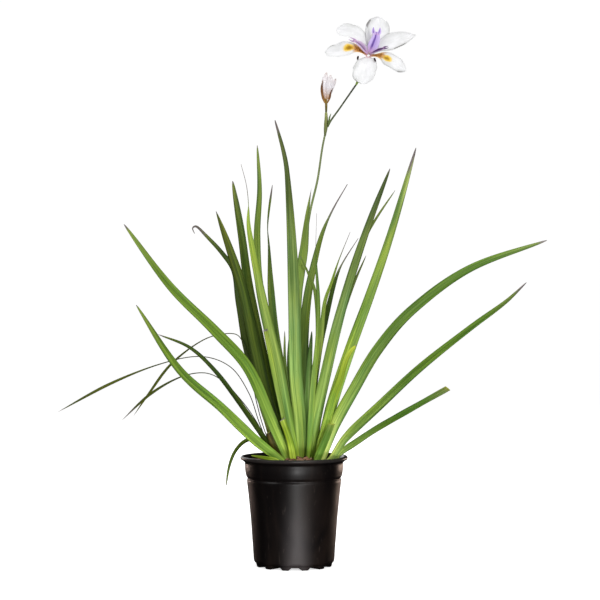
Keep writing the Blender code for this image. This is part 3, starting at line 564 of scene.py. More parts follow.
# ---- leaves ------------------------------------------------------------------------------------------
def leaf_finish(name, foot, low, middle, high, tip):
    """Living leaf: colour runs from foot to tip, with cooler and warmer patches, bands and veins that
    run with the blade, margins darkened as painted shade, a few brown flecks, a dried grey tip and a
    yellow-green cut end."""
    f = Finish(name)
    uv, reach, spread, dry, cut = f.uv(), f.mark("reach"), f.mark("spread"), f.mark("dry"), f.mark("cut")
    cloud = f.noise(uv, (30.0, 7.0, 1.0))
    cool = f.noise(uv, (80.0, 9.0, 1.0), detail=2.0)
    band = f.noise(uv, (240.0, 5.0, 1.0), detail=2.0)
    vein = f.noise(uv, (620.0, 11.0, 1.0), detail=2.0)
    hair = f.noise(uv, (1900.0, 30.0, 1.0), detail=1.0)
    stops = [(0.0, paint(*foot)), (0.15, paint(*low)), (0.45, paint(*middle)), (0.78, paint(*high)),
             (1.0, paint(*tip))]
    colour = f.ramp(reach + (cloud - 0.5) * 0.30, stops)
    # painted shade: the blade's margins are darkened in colour, as where its edges turn into shade
    margin = (spread.size() + (band - 0.5) * 0.3).eased(0.68, 0.98)
    tints = [(cool.eased(0.50, 0.64) * 0.62, (0.76, 0.94, 1.22, 1)),
             (cool.eased(0.46, 0.32) * 0.60, (1.24, 1.12, 0.60, 1)),
             (band.eased(0.50, 0.60) * 0.60, (0.48, 0.58, 0.44, 1)),
             (band.eased(0.48, 0.37) * 0.70, (1.46, 1.36, 1.40, 1)),
             (vein.eased(0.50, 0.63) * 0.66, (0.54, 0.64, 0.50, 1)),
             (vein.eased(0.48, 0.35) * 0.62, (1.36, 1.28, 1.34, 1)),
             (hair.eased(0.52, 0.68) * 0.40, (0.62, 0.70, 0.58, 1)),
             (margin * 0.62, (0.40, 0.44, 0.34, 1))]
    for share, tint in tints:
        colour = f.mix(share, colour, tint, "MULTIPLY")
    fleck = f.noise(uv, (460.0, 210.0, 1.0), detail=1.0).eased(0.74, 0.80)
    colour = f.mix(fleck * 0.6, colour, paint(98, 76, 36))
    straw = f.ramp(vein, [(0.3, paint(176, 168, 162)), (0.5, paint(124, 114, 112)),
                          (0.72, paint(74, 64, 66))])
    colour = f.mix(dry, colour, straw)
    colour = f.mix(cut * 0.95, colour, paint(150, 158, 46))
    rough = 0.44 + (vein - 0.5) * 0.25 + (cloud - 0.5) * 0.14 + dry * 0.3
    lines = (f.part(uv, 0) * (TURN / LINE_PITCH)).cosine()
    height = lines * 0.35 + vein * 0.9 + hair * 0.35
    return f.done(colour, rough.clipped(), f.bump(height, 0.00016),
                  {"Specular IOR Level": 0.17}, 0.12, paint(*middle))


def blade_width(share, kind):
    """Width at a share of the length, against the greatest width: FOOT_SHARE at the foot, growing to 1
    over the first sixth, then falling as the root of 1 - share^1.8. A cut leaf only narrows by 0.16, a
    whip or thread goes on as a thin dry tail, a blunt one ends round, a broad one narrows late, a lance
    soon but has a full end, and a spear keeps its width to three quarters, then runs straight to its
    point."""
    along = np.clip(share, 0.0, 1.0)
    foot = FOOT_SHARE + (1.0 - FOOT_SHARE) * np.minimum(along / 0.16, 1.0)
    if kind == "cut":
        return foot * (1.0 - 0.16 * along)
    if kind in ("whip", "thread"):
        body = foot * np.sqrt(np.maximum(1.0 - (along / 0.86) ** 1.8, 0.0))
        tail = 0.07 + 0.9 * (1.0 - along) if kind == "whip" else 0.045 + 0.14 * (1.0 - along)
        return (body ** 3 + tail ** 3) ** (1 / 3)
    if kind == "blunt":
        return foot * np.sqrt(np.maximum(1.0 - along ** 7.0, 0.0)) * (1.0 - 0.28 * along)
    if kind == "broad":
        return foot * (1.0 - along ** 5.0) ** 0.8
    if kind == "lance":
        return foot * np.maximum(1.0 - along ** 2.6, 0.75 * (1.0 - along) ** 0.4)
    if kind == "spear":
        taper = (1.0 - along) / 0.24
        return foot * taper / (1.0 + taper ** 5) ** 0.2
    return foot * np.sqrt(np.maximum(1.0 - along ** 1.8, 0.0))


def blade(number, name, tone, width, thick, kind, turn_foot, turn_tip, foot, through):
    """A leaf: a thin lens-shaped section with a soft keel and ribs, swept along the middle line.

    Rows come closer together towards the tip. Across the blade s runs -1 to 1. Half the thickness is
    deep times (1 - s^2.6)^0.55, with cosine ribs on it. The middle surface is bent back by fold times
    half the width times the rounded size of s, and its margins are ruffled by the cube of s. A wiry
    leaf's width is 0.46, plus 1.05 times a bell curve round 0.84 of its length, times
    (1 - share^16)^0.8. A cut leaf's end is slanted.
    """
    u = np.linspace(0.0, 1.0, LEAF_ROWS)
    share = 1.0 - (1.0 - u) ** 1.35
    share = np.concatenate([SUNK_ROWS, share * (1.0 if kind == "cut" else 0.9992)])
    place, way, length = spline([(foot[0], foot[1], SOIL_TOP + 0.3)] + list(through), np.maximum(share, 0.0))
    place = place + way * (np.minimum(share, 0.0) * SUNK_LENGTH)[:, None]
    twist = np.clip((share - 0.59) / 0.36, 0.0, 1.0) if kind == "twist" else np.maximum(share, 0.0) ** 1.5
    turn = np.radians(turn_foot + (turn_tip - turn_foot) * twist)
    face = np.stack([np.sin(turn), -np.cos(turn), np.zeros_like(turn)], 1)
    across = unit(np.cross(way, face))
    face = np.cross(across, way)
    form = blade_width(share, kind)
    half = 0.5 * width * form
    deep = 0.5 * thick * (0.42 + 0.58 * form)
    fold = (0.20 * np.exp(-np.maximum(share, 0.0) / 0.22) + 0.16) * (1.0 if number % 5 else -0.7)
    if tone == "wiry":
        half = 0.46 + 1.05 * np.exp(-((share - 0.84) / 0.16) ** 2)
        half = 0.5 * width * half * np.maximum(1.0 - np.clip(share, 0.0, 1.0) ** 16.0, 0.0) ** 0.8
        deep = 0.5 * thick * (1.0 - 0.62 * share)
        fold = fold * 0.5
    half = half * (1.0 + 0.022 * waves(share * 22.0, number, number + 10))
    s, side = section(LEAF_HALF_COLUMNS, 0.55, 0.45)
    ribs = max(round(width / RIB_WIDTH), 1)
    lens = (1.0 - np.abs(s) ** 2.6) ** 0.55 * (1.0 + 0.16 * np.cos(TURN * ribs * s))
    keel = (np.sqrt(s * s + 0.03) - 0.17) - 0.28
    ruffle = 0.10 * np.abs(s) ** 3 * np.sign(s)
    lift = (side * lens)[None, :] * deep[:, None] - keel[None, :] * (fold * half)[:, None]
    lift = lift + ruffle[None, :] * (half * waves(share * 16.0, 0.0, number + 60))[:, None]
    slip = 0.0
    if kind == "cut":
        slip = (s * 0.22 + 0.05 * np.sin(5.0 * s + number))[None, :, None] * half[:, None, None]
        slip = slip * np.clip((share - 0.9) / 0.1, 0.0, 1.0)[:, None, None] * way[:, None, :]
    aside = half[:, None] * s[None, :]
    grid = swept(place, across, aside, face, lift) + slip
    reach = np.repeat(share[:, None], len(s), 1)
    spread = np.repeat(s[None, :], len(share), 0)
    dried = DRY_TIPS.get(name, OTHER_DRY_TIP)
    fray = 0.25 * dried * waves(spread * 3.0, reach * 40.0, number + 30)
    edge = reach + fray + 0.12 * dried * np.abs(spread)
    dry = np.clip((edge - (1.0 - dried)) / (0.55 * dried), 0.0, 1.0)
    cut = np.clip((reach - 0.975) / 0.02, 0.0, 1.0) * (name in CUT_ENDS)
    pairs = np.stack([aside, np.repeat((share * length)[:, None], len(s), 1)], -1) * MM
    pairs[:, :, 1] += number * 1.37
    title = "sheath" if name == "dry_sheath" else "iris_" + name
    piece(title, [name], LEAF_FINISHES[OWN_LOOKS.get(name, tone)], [grid],
          {"reach": [reach], "spread": [spread], "dry": [dry], "cut": [cut]}, [pairs])


LEAF_FINISHES = {look: leaf_finish("leaf_" + look + "_finish", *row) for look, row in LOOKS.items()}
for number, leaf in enumerate(LEAVES):
    blade(number, *leaf)


# ---- pot ---------------------------------------------------------------------------------------------
def rounded(corners, bend=7):
    """A line through corners (radius, height, rounding): each corner is a quadratic curve that starts
    and ends at its rounding's distance from it, and a long straight run is split into steps of 3 or
    a little more."""
    line = [np.array(corners[0][:2], float)]
    for before, here, after in zip(corners, corners[1:], corners[2:]):
        p, q, r = (np.array(c[:2], float) for c in (before, here, after))
        first = q + (p - q) / np.linalg.norm(p - q) * here[2]
        last = q + (r - q) / np.linalg.norm(r - q) * here[2]
        t = np.linspace(0.0, 1.0, bend)[:, None]
        line += list((1 - t) ** 2 * first + 2 * t * (1 - t) * q + t * t * last)
    line.append(np.array(corners[-1][:2], float))
    full = [line[0]]
    for a, b in zip(line, line[1:]):
        steps = max(int(np.linalg.norm(b - a) / 3.0), 1)
        full += [a + (b - a) * k / steps for k in range(1, steps + 1)]
    return np.array(full)


def body_radius(height):
    """The wall's outer radius: a slightly hollow taper with one groove, a faint inset under the rim and
    a slight swell between the two. Groove and inset are bell curves, and the swell is half a sine."""
    share = (height - KNEE_HEIGHT) / (RIM_UNDER - KNEE_HEIGHT)
    radius = KNEE_RADIUS + (BODY_TOP_RADIUS - KNEE_RADIUS) * share
    radius = radius - WALL_HOLLOW * np.sin(math.pi * np.clip(share, 0.0, 1.0))
    radius = radius - GROOVE_DEPTH * np.exp(-((height - GROOVE_HEIGHT) / GROOVE_SPREAD) ** 2)
    radius = radius - 0.35 * np.exp(-((height - 157.0) / 3.6) ** 2)
    band = np.clip((height - 135.5) / 20.0, 0.0, 1.0)
    return radius + 0.6 * np.sin(math.pi * band) ** 1.5


def pot():
    """The nursery pot: a profile of radius and height turned round Z, whose foot rises in arches
    between rounded feet and whose wall is a little uneven."""
    heights = np.linspace(WALL_BOTTOM, WALL_TOP, POT_ROWS)
    wall = np.stack([body_radius(heights), heights], 1)
    foot = rounded([
        (0.0, 0.9, 0.0), (22.0, 0.9, 0.6), (23.2, 0.0, 0.5), (31.0, 0.0, 0.6),
        (FOOT_RADIUS - 0.6, 0.0, 1.0), (FOOT_RADIUS + 0.9, 5.6, 1.6), (KNEE_RADIUS - 0.5, 7.4, 1.1),
        (body_radius(10.4), 10.4, 0.0)])
    rim = rounded([
        (wall[-1, 0], WALL_TOP, 0.0), (BODY_TOP_RADIUS + 0.1, RIM_UNDER - 0.2, 0.5),
        (RIM_RADIUS - 4.6, 159.7, 1.6), (RIM_RADIUS - 0.4, 162.2, 1.5), (RIM_RADIUS, 165.3, 1.1),
        (RIM_RADIUS - 1.9, POT_HEIGHT, 1.2), (BODY_TOP_RADIUS + 0.6, POT_HEIGHT - 0.4, 1.4),
        (BODY_TOP_RADIUS - WALL - 0.1, 160.0, 2.2), (BODY_TOP_RADIUS - WALL - 1.4, 148.0, 2.0),
        (body_radius(60.0) - WALL, 60.0, 2.0), (FOOT_RADIUS - WALL, 8.0, 2.0), (0.0, 6.6, 0.0)])
    profile = np.concatenate([foot, wall, rim[1:]])[1:-1]
    r, z = profile[:, 0][:, None], profile[:, 1][:, None]
    around = angles(POT_COLUMNS)
    inside = (np.arange(len(profile)) > len(foot) + len(wall) + EVEN_FROM)[:, None]
    wave = 0.5 - 0.5 * np.cos(FEET * (around - FOOT_PHASE))[None, :]
    arch = np.clip(wave * 2.2 - 0.6, 0.0, 1.0) ** 0.7
    low = np.clip((7.5 - z) / 7.5, 0.0, 1.0) * (r > NOTCH_INNER_RADIUS + 0.5) * ~inside
    lift = NOTCH_HEIGHT * arch * low
    swell = (0.9 - 1.5 * arch) * np.clip((9.0 - z) / 4.0, 0.0, 1.0) * (r > 52.0) * ~inside
    uneven = 0.26 * waves(2.0 * np.cos(around)[None, :] + z / 46.0, 2.2 * np.sin(around)[None, :], 3)
    uneven = uneven + 0.10 * waves(9.0 * np.cos(around)[None, :] + z / 9.0, 9.0 * np.sin(around)[None, :], 4)
    uneven = uneven * (~inside) * np.clip((z - 9.0) / 8.0, 0.0, 1.0) * np.clip((170.0 - z) / 14.0, 0.0, 1.0)
    radius = r + swell + uneven
    piece("nursery_pot", ["pot"], pot_finish(), [turned(radius, z + lift, around)])


def pot_finish():
    """Black moulded plastic: satin, with smudges, dry brown dust, a pale painted highlight low on the middle
    of its front, a painted highlight on its glossier lip, faint drag lines and fine grain."""
    f = Finish("pot_plastic_finish")
    at = f.place()
    smudge = f.noise(at, (16.0, 16.0, 9.0), detail=4.0, twist=0.8)
    streak = f.noise(at, (70.0, 70.0, 5.0), detail=3.0)
    grain = f.noise(at, (1500.0, 1500.0, 1500.0), detail=1.0)
    scuff = f.noise(at, (240.0, 240.0, 34.0), detail=2.0, twist=1.4).eased(0.66, 0.74)
    dust = (smudge.eased(0.42, 0.70) * 0.55 + streak.eased(0.50, 0.75) * 0.35).clipped()
    colour = f.mix(dust * 0.50, paint(11, 8, 8), paint(40, 28, 21))
    colour = f.mix(scuff * 0.16, colour, paint(92, 82, 76))
    # painted highlight: a pale patch down the middle of the front, brighter towards the foot, stands in for a
    # reflection
    painted_front_highlight = (f.part(at, 0) - 0.004).size().eased(0.030, 0.0) * f.part(at, 1).eased(-0.02, -0.05)
    painted_front_highlight = painted_front_highlight * f.part(at, 2).eased(0.135, 0.012) * (smudge * 0.8 + 0.6)
    colour = f.mix(painted_front_highlight.clipped() * 0.40, colour, paint(84, 79, 80))
    # painted highlight: the top of the rim is paler in colour; its lower roughness is the plastic's own gloss
    lip = f.part(at, 2).eased(0.1600, 0.1625)
    colour = f.mix(lip * 0.14, colour, paint(92, 88, 86))
    rough = 0.40 + (smudge - 0.5) * 0.40 + (streak - 0.5) * 0.20 - lip * 0.08
    height = grain * 0.25 + smudge * 6.0
    return f.done(colour, rough.clipped(), f.bump(height, 0.00008), {"Specular IOR Level": 0.20})


pot()


# ---- potting mix -------------------------------------------------------------------------------------
def mix_finish():
    """Bark potting mix: dark crumbs, redder bark chips and a few pale grains, by each chip's own mark."""
    f = Finish("potting_mix_finish")
    at, kind = f.place(), f.mark("kind")
    crumb = f.noise(at, (520.0, 520.0, 520.0), detail=4.0)
    fibre = f.noise(at, (900.0, 160.0, 400.0), detail=2.0)
    colour = f.ramp(kind, [(0.0, paint(44, 33, 26)), (0.35, paint(74, 52, 38)), (0.6, paint(128, 88, 66)),
                           (0.85, paint(168, 124, 98)), (1.0, paint(205, 196, 182))])
    colour = f.mix(crumb.eased(0.42, 0.66) * 0.7, colour, (0.42, 0.38, 0.35, 1), "MULTIPLY")
    colour = f.mix(fibre.eased(0.50, 0.70) * 0.25, colour, paint(150, 118, 90))
    height = crumb + fibre * 0.5
    return f.done(colour, 0.86, f.bump(height, 0.0009), {"Specular IOR Level": 0.25})


def chips(draw, centres, sizes):
    """Lumps of bark: small spheres of 5 rings of 7 points, flattened, turned and roughened as draw
    says, all worked out together; returns the tubes."""
    count, rows, columns = len(centres), 5, 7
    a = np.linspace(0.12, 0.88, rows)[:, None] * math.pi
    b = angles(columns)[None, :]
    ball = np.stack([np.sin(a) * np.cos(b), np.sin(a) * np.sin(b), np.cos(a) + 0 * b], -1)
    stretch = np.stack([np.ones(count), draw.uniform(0.45, 0.9, count), draw.uniform(0.25, 0.5, count)], 1)
    rough = 1.0 + draw.uniform(-0.18, 0.18, (count, rows, columns, 1))
    lump = ball[None] * rough * (stretch * sizes[:, None])[:, None, None, :]
    turn, tilt = draw.uniform(0, TURN, count), draw.normal(0.0, 0.35, count)
    c, s = np.cos(turn)[:, None, None], np.sin(turn)[:, None, None]
    e, g = np.cos(tilt)[:, None, None], np.sin(tilt)[:, None, None]
    x, y, z = lump[..., 0], lump[..., 1], lump[..., 2]
    x, z = x * e - z * g, x * g + z * e
    moved = np.stack([x * c - y * s, x * s + y * c, z], -1) + centres[:, None, None, :]
    return list(moved)


def mound(x, y):
    """Height of the mix: just under SOIL_TOP, heaped by 7 mm round the crown of the plant and sunk by
    2.6 mm at the wall."""
    r = np.hypot(x, y)
    heap = 7.0 * np.exp(-(((x - 10.0) / 34.0) ** 2 + ((y + 12.0) / 30.0) ** 2))
    return SOIL_TOP - 0.6 + heap - 2.6 * np.clip((r - 54.0) / 18.0, 0.0, 1.0) ** 2


def potting_mix():
    """The mix: a turned body whose top is roughened by noise, with bark chips strewn on it and a few
    larger ones at the front. Its first three rings are its underside and side, and the others run from
    the wall inwards over its top."""
    around = angles(MIX_COLUMNS)
    radii = np.concatenate([[54.0, 57.0, 63.0], np.linspace(71.6, 0.8, MIX_ROWS)])
    floor = np.array([6.9, 12.6, 60.0])
    grid = np.empty((len(radii), MIX_COLUMNS, 3))
    grid[..., 0] = radii[:, None] * np.cos(around)
    grid[..., 1] = radii[:, None] * np.sin(around)
    x, y = grid[3:, :, 0], grid[3:, :, 1]
    grid[:3, :, 2] = floor[:, None]
    grid[3:, :, 2] = mound(x, y) + 0.9 * waves(x / 3.1, y / 3.1, 8, 12) + 0.5 * waves(x / 1.3, y / 1.3, 9, 14)
    draw = np.random.default_rng(41)
    count, front = CHIP_COUNT, FRONT_CHIP_COUNT
    r, a = CHIP_REACH * np.sqrt(draw.uniform(0, 1, count)), draw.uniform(0, TURN, count)
    x, y = r * np.cos(a), r * np.sin(a)
    sizes = draw.gamma(4.0, 0.62, count) + 0.9
    centres = np.stack([x, y, mound(x, y) + 0.25 * sizes], 1)
    kinds = np.clip(draw.normal(0.42, 0.22, count), 0.05, 0.95)
    kinds[draw.uniform(0, 1, count) < 0.04] = 1.0
    fx, fy = draw.uniform(-16, 30, front), draw.uniform(-46, -24, front)
    centres = np.concatenate([centres, np.stack([fx, fy, mound(fx, fy) + draw.uniform(1.0, 4.6, front)], 1)])
    sizes = np.concatenate([sizes, draw.uniform(2.6, 4.6, front)])
    kinds = np.concatenate([kinds, draw.uniform(0.62, 0.9, front)])
    tubes = chips(draw, centres, sizes)
    marks = [np.full(grid.shape[:2], 0.22)] + [np.full(t.shape[:2], k) for t, k in zip(tubes, kinds)]
    piece("potting_mix", ["soil"], mix_finish(), [grid] + tubes, {"kind": marks}, sharp=32)


potting_mix()


# ---- stems, bracts and bud ---------------------------------------------------------------------------
def frames(way):
    """Two directions square to way and to each other, the first of them square to Y too."""
    side = unit(np.cross(way, np.array([0.0, -1.0, 0.0])))
    return side, np.cross(side, way)


def stalk(through, radii, rows, columns, flat, knobs, seed, ends):
    """A stalk along a line: radii is read evenly along it, flat is its depth against its width, ends are
    rounded off as quarter circles over the given shares of a radius, knobs roughens it by waves, and
    five faint ridges run along it. Returns its grid, its reach and its UV."""
    u = 0.5 - 0.5 * np.cos(np.linspace(0.0, 1.0, rows) * math.pi)
    place, way, length = spline(through, u)
    radius = np.interp(u, np.linspace(0, 1, len(radii)), radii)
    shut = np.minimum(u * length / (ends[0] * radii[0] + 1e-6), 1.0)
    shut = shut * np.minimum((1 - u) * length / (ends[1] * radii[-1] + 1e-6), 1.0)
    radius = radius * np.sqrt(np.clip(1.0 - (1.0 - shut) ** 2, 0.0004, 1.0))
    side, other = frames(way)
    around = angles(columns)
    lumps = waves(3.0 * np.cos(around)[None, :] + 9.0 * u[:, None], 3.0 * np.sin(around)[None, :], seed)
    ring = radius[:, None] * (1.0 + knobs * lumps + 0.035 * np.cos(5 * around)[None, :])
    grid = swept(place, side, ring * np.cos(around), other, flat * ring * np.sin(around))
    reach = np.repeat(u[:, None], columns, 1)
    fold = np.abs(np.arange(columns) / columns - 0.5) * TURN * radius.mean()
    pairs = np.stack([np.repeat(fold[None, :], rows, 0), reach * length], -1) * MM
    return grid, reach, pairs


def green_finish(name, low, high, pale):
    """Green stem or bract: colour from low to high, fine lengthwise lines and a pale bloom."""
    f = Finish(name)
    uv, reach = f.uv(), f.mark("reach")
    line = f.noise(uv, (1900.0, 30.0, 1.0), detail=2.0)
    cloud = f.noise(uv, (160.0, 30.0, 1.0))
    colour = f.ramp(reach + (cloud - 0.5) * 0.4, [(0.0, paint(*low)), (1.0, paint(*high))])
    colour = f.mix(line.eased(0.5, 0.7) * 0.5, colour, (0.62, 0.70, 0.5, 1), "MULTIPLY")
    colour = f.mix(line.eased(0.46, 0.3) * 0.4, colour, paint(*pale))
    rough = 0.42 + (line - 0.5) * 0.3
    return f.done(colour, rough.clipped(), f.bump(line, 0.00012), {"Specular IOR Level": 0.4})


def husk_finish():
    """Dry papery husk: tan at the foot, brown above and paler at the tip, with darker lengthwise ribs
    and golden patches."""
    f = Finish("husk_brown_finish")
    uv, reach = f.uv(), f.mark("reach")
    line = f.noise(uv, (1500.0, 70.0, 1.0), detail=3.0)
    patch = f.noise(uv, (300.0, 120.0, 1.0), detail=3.0)
    colour = f.ramp(reach + (patch - 0.5) * 0.7, [(0.0, paint(176, 126, 62)), (0.4, paint(138, 92, 50)),
                                                  (0.75, paint(100, 68, 48)), (1.0, paint(160, 130, 104))])
    colour = f.mix(line.eased(0.48, 0.68) * 0.65, colour, paint(70, 44, 28))
    colour = f.mix(patch.eased(0.60, 0.74) * 0.5, colour, paint(196, 156, 84))
    return f.done(colour, 0.74, f.bump(line + patch * 0.5, 0.0003), {"Specular IOR Level": 0.3})


def faded_finish():
    """Withered petals: off-white, tan at the foot and slightly grey at their ends and margins, with soft
    pinkish creases."""
    f = Finish("petal_faded_finish")
    uv, reach, spread = f.uv(), f.mark("reach"), f.mark("spread")
    crease = f.noise(uv, (380.0, 90.0, 1.0), detail=3.0, twist=0.7)
    patch = f.noise(uv, (180.0, 90.0, 1.0), detail=2.0)
    colour = f.ramp(reach + (patch - 0.5) * 0.3, [(0.0, paint(216, 170, 112)), (0.2, paint(238, 222, 216)),
                                                  (0.5, paint(246, 246, 250)), (0.92, paint(242, 238, 238)),
                                                  (1.0, paint(212, 200, 194))])
    colour = f.mix(crease.eased(0.58, 0.76) * 0.14, colour, paint(220, 198, 192))
    colour = f.mix(spread.size().eased(0.82, 1.0) * 0.12, colour, paint(190, 168, 160))
    return f.done(colour, 0.62, f.bump(crease, 0.00012), {"Specular IOR Level": 0.2},
                  0.35, paint(242, 238, 240))


def grown(name, node, slot, material, *made):
    """A piece from stalks, which have a reach, or from petals, which have a reach and a spread."""
    grids, *marks, pairs = zip(*made)
    marks = {title: list(values) for title, values in zip(("reach", "spread"), marks)}
    piece(name, [node], material, list(grids), marks, list(pairs))


STEM_FINISH = green_finish("stem_green_finish", (134, 164, 60), (112, 124, 78), (158, 170, 112))
STALK_FINISH = green_finish("stalk_dusky_finish", (92, 106, 60), (70, 74, 62), (112, 116, 92))
BRACT_FINISH = green_finish("bract_green_finish", (84, 96, 50), (150, 156, 84), (206, 204, 130))
SMALL_BRACT_FINISH = green_finish("bract_dark_finish", (92, 112, 56), (88, 116, 48), (128, 148, 76))
BUD_STALK_FINISH = green_finish("bud_stalk_finish", (74, 78, 22), (150, 116, 34), (176, 150, 62))
HUSK_FINISH = husk_finish()
# piece, node, slot, finish and line, then stalk's radii, rows, columns, flat, knobs, seed and ends
STALKS = [
    ("flower_stem_skin", "flower_stem", "stem_green", STEM_FINISH, STEM_LINE,
     (2.6, 2.5, 2.2, 1.8, 1.5), 150, 20, 1.0, 0.02, 1, (0.12, 0.12)),
    ("flower_stalk_skin", "flower_stalk", "stem_green", STALK_FINISH, PEDICEL_LINE,
     (1.5, 1.3, 1.4), 60, 18, 1.0, 0.02, 4, (0.12, 0.12)),
    ("spathe_skin", "spathe", "bract_green", BRACT_FINISH, SPATHE_LINE,
     (1.4, 2.7, 3.2, 2.6, 1.9), 60, 24, 1.0, 0.05, 6, (1.0, 2.0)),
    ("small_bract_skin", "small_bract", "bract_green", SMALL_BRACT_FINISH, SMALL_BRACT_LINE,
     (1.0, 1.7, 1.1, 0.4), 40, 16, 1.0, 0.04, 7, (1.0, 3.0)),
    ("ovary_skin", "ovary_and_tube", "stem_green", STEM_FINISH, OVARY_LINE,
     (1.3, 2.8, 3.1, 2.3, 2.8), 60, 24, 1.0, 0.03, 9, (0.8, 0.8)),
    ("bud_stalk_skin", "bud_stalk", "stem_green", BUD_STALK_FINISH, BUD_STALK_LINE,
     (1.6, 2.0, 2.1), 30, 20, 1.0, 0.04, 12, (0.6, 0.6)),
    ("bud_husk_left", "bud_valve_left", "husk_brown", HUSK_FINISH, BUD_VALVE_LEFT,
     (0.9, 2.1, 2.2, 1.5, 0.3), 70, 28, 1.6, 0.12, 14, (1.0, 4.0)),
    ("bud_husk_right", "bud_valve_right", "husk_brown", HUSK_FINISH, BUD_VALVE_RIGHT,
     (0.7, 1.4, 1.5, 1.1, 0.2), 60, 28, 2.0, 0.12, 15, (1.0, 4.0)),
]
for name, node, slot, material, *shape in STALKS:
    grown(name, node, slot, material, stalk(*shape))


# ---- flower ------------------------------------------------------------------------------------------
def read_evenly(values, shares):
    """Values spread evenly over 0 to 1, read at the shares on a smooth curve through them all: a cubic
    between each two, whose slope at a value is half the difference of the values beside it."""
    v = np.asarray(values, float)
    at = np.clip(shares, 0.0, 1.0) * (len(v) - 1)
    i = np.minimum(at.astype(int), len(v) - 2)
    t = at - i
    before, a, b, after = v[np.maximum(i - 1, 0)], v[i], v[i + 1], v[np.minimum(i + 2, len(v) - 1)]
    return a + 0.5 * t * (b - before + t * (2 * before - 5 * a + 4 * b - after
                                            + t * (3 * a - 3 * b + after - before)))


def petal(through, widths, face, thick=0.8, cup=0.10, ruffle=0.05, seed=0, rows=72, half_columns=24,
          curl=(0.0, 0.0), rounding=0.16):
    """A petal along its middle line: at each place it is as wide as widths says, closed by an ellipse
    over its last share, rounding. Its margins rise towards the face by cup times the square of s, each
    rolls over by its curl times the fourth power of s, and ruffle waves them. Its width wavers a little,
    and a narrow furrow, a bell curve of s, runs down its middle. Half its thickness falls towards the
    tip and as (1 - s^3)^0.6 towards the margins. Returns its grid, its reach, its spread and its UV."""
    u = np.sin(np.linspace(0.0, 1.0, rows) ** 1.1 * math.pi / 2) * 0.9994
    place, way, length = spline(through, u)
    across = unit(np.cross(way, np.array(face, float)))
    up = np.cross(across, way)
    close = np.sqrt(1.0 - np.clip((u - 1.0 + rounding) / rounding, 0.0, 1.0) ** 2.2)
    width = np.maximum(read_evenly(widths, u), 0.5) * close
    s, side = section(half_columns, 0.6, 0.4)
    un, sn, wide = u[:, None], s[None, :], width[:, None]
    body = 0.5 * thick * (0.35 + 0.65 * (1.0 - un)) * (1.0 - np.abs(sn) ** 3) ** 0.6
    opened = np.clip(un * 2.2, 0.0, 1.0)
    waved = waves(un * 13.0 + 0.8 * sn, sn * 1.2, seed)
    rise = cup * wide * sn * sn + ruffle * wide * np.abs(sn) ** 2.2 * waved * opened
    rise = rise + 0.014 * wide * waves(un * 9.0, sn * 5.0, seed + 1) * opened
    rise = rise - 0.035 * wide * np.exp(-(sn / 0.12) ** 2) * opened
    rolled = np.where(sn < 0, curl[0], curl[1])
    roll = rolled * sn ** 4 * wide * opened
    edge = 1.0 - 0.35 * np.abs(rolled) * sn ** 4 + 0.03 * waves(un * 18.0, 0.0, seed + 5)
    grid = swept(place, across, 0.5 * wide * sn * edge, up, rise + roll + side[None, :] * body)
    reach, spread = un + 0.0 * sn, sn + 0.0 * un
    pairs = np.stack([0.5 * wide * sn, length * reach], -1) * MM
    pairs[..., 1] += seed * 0.31
    return grid, reach, spread, pairs


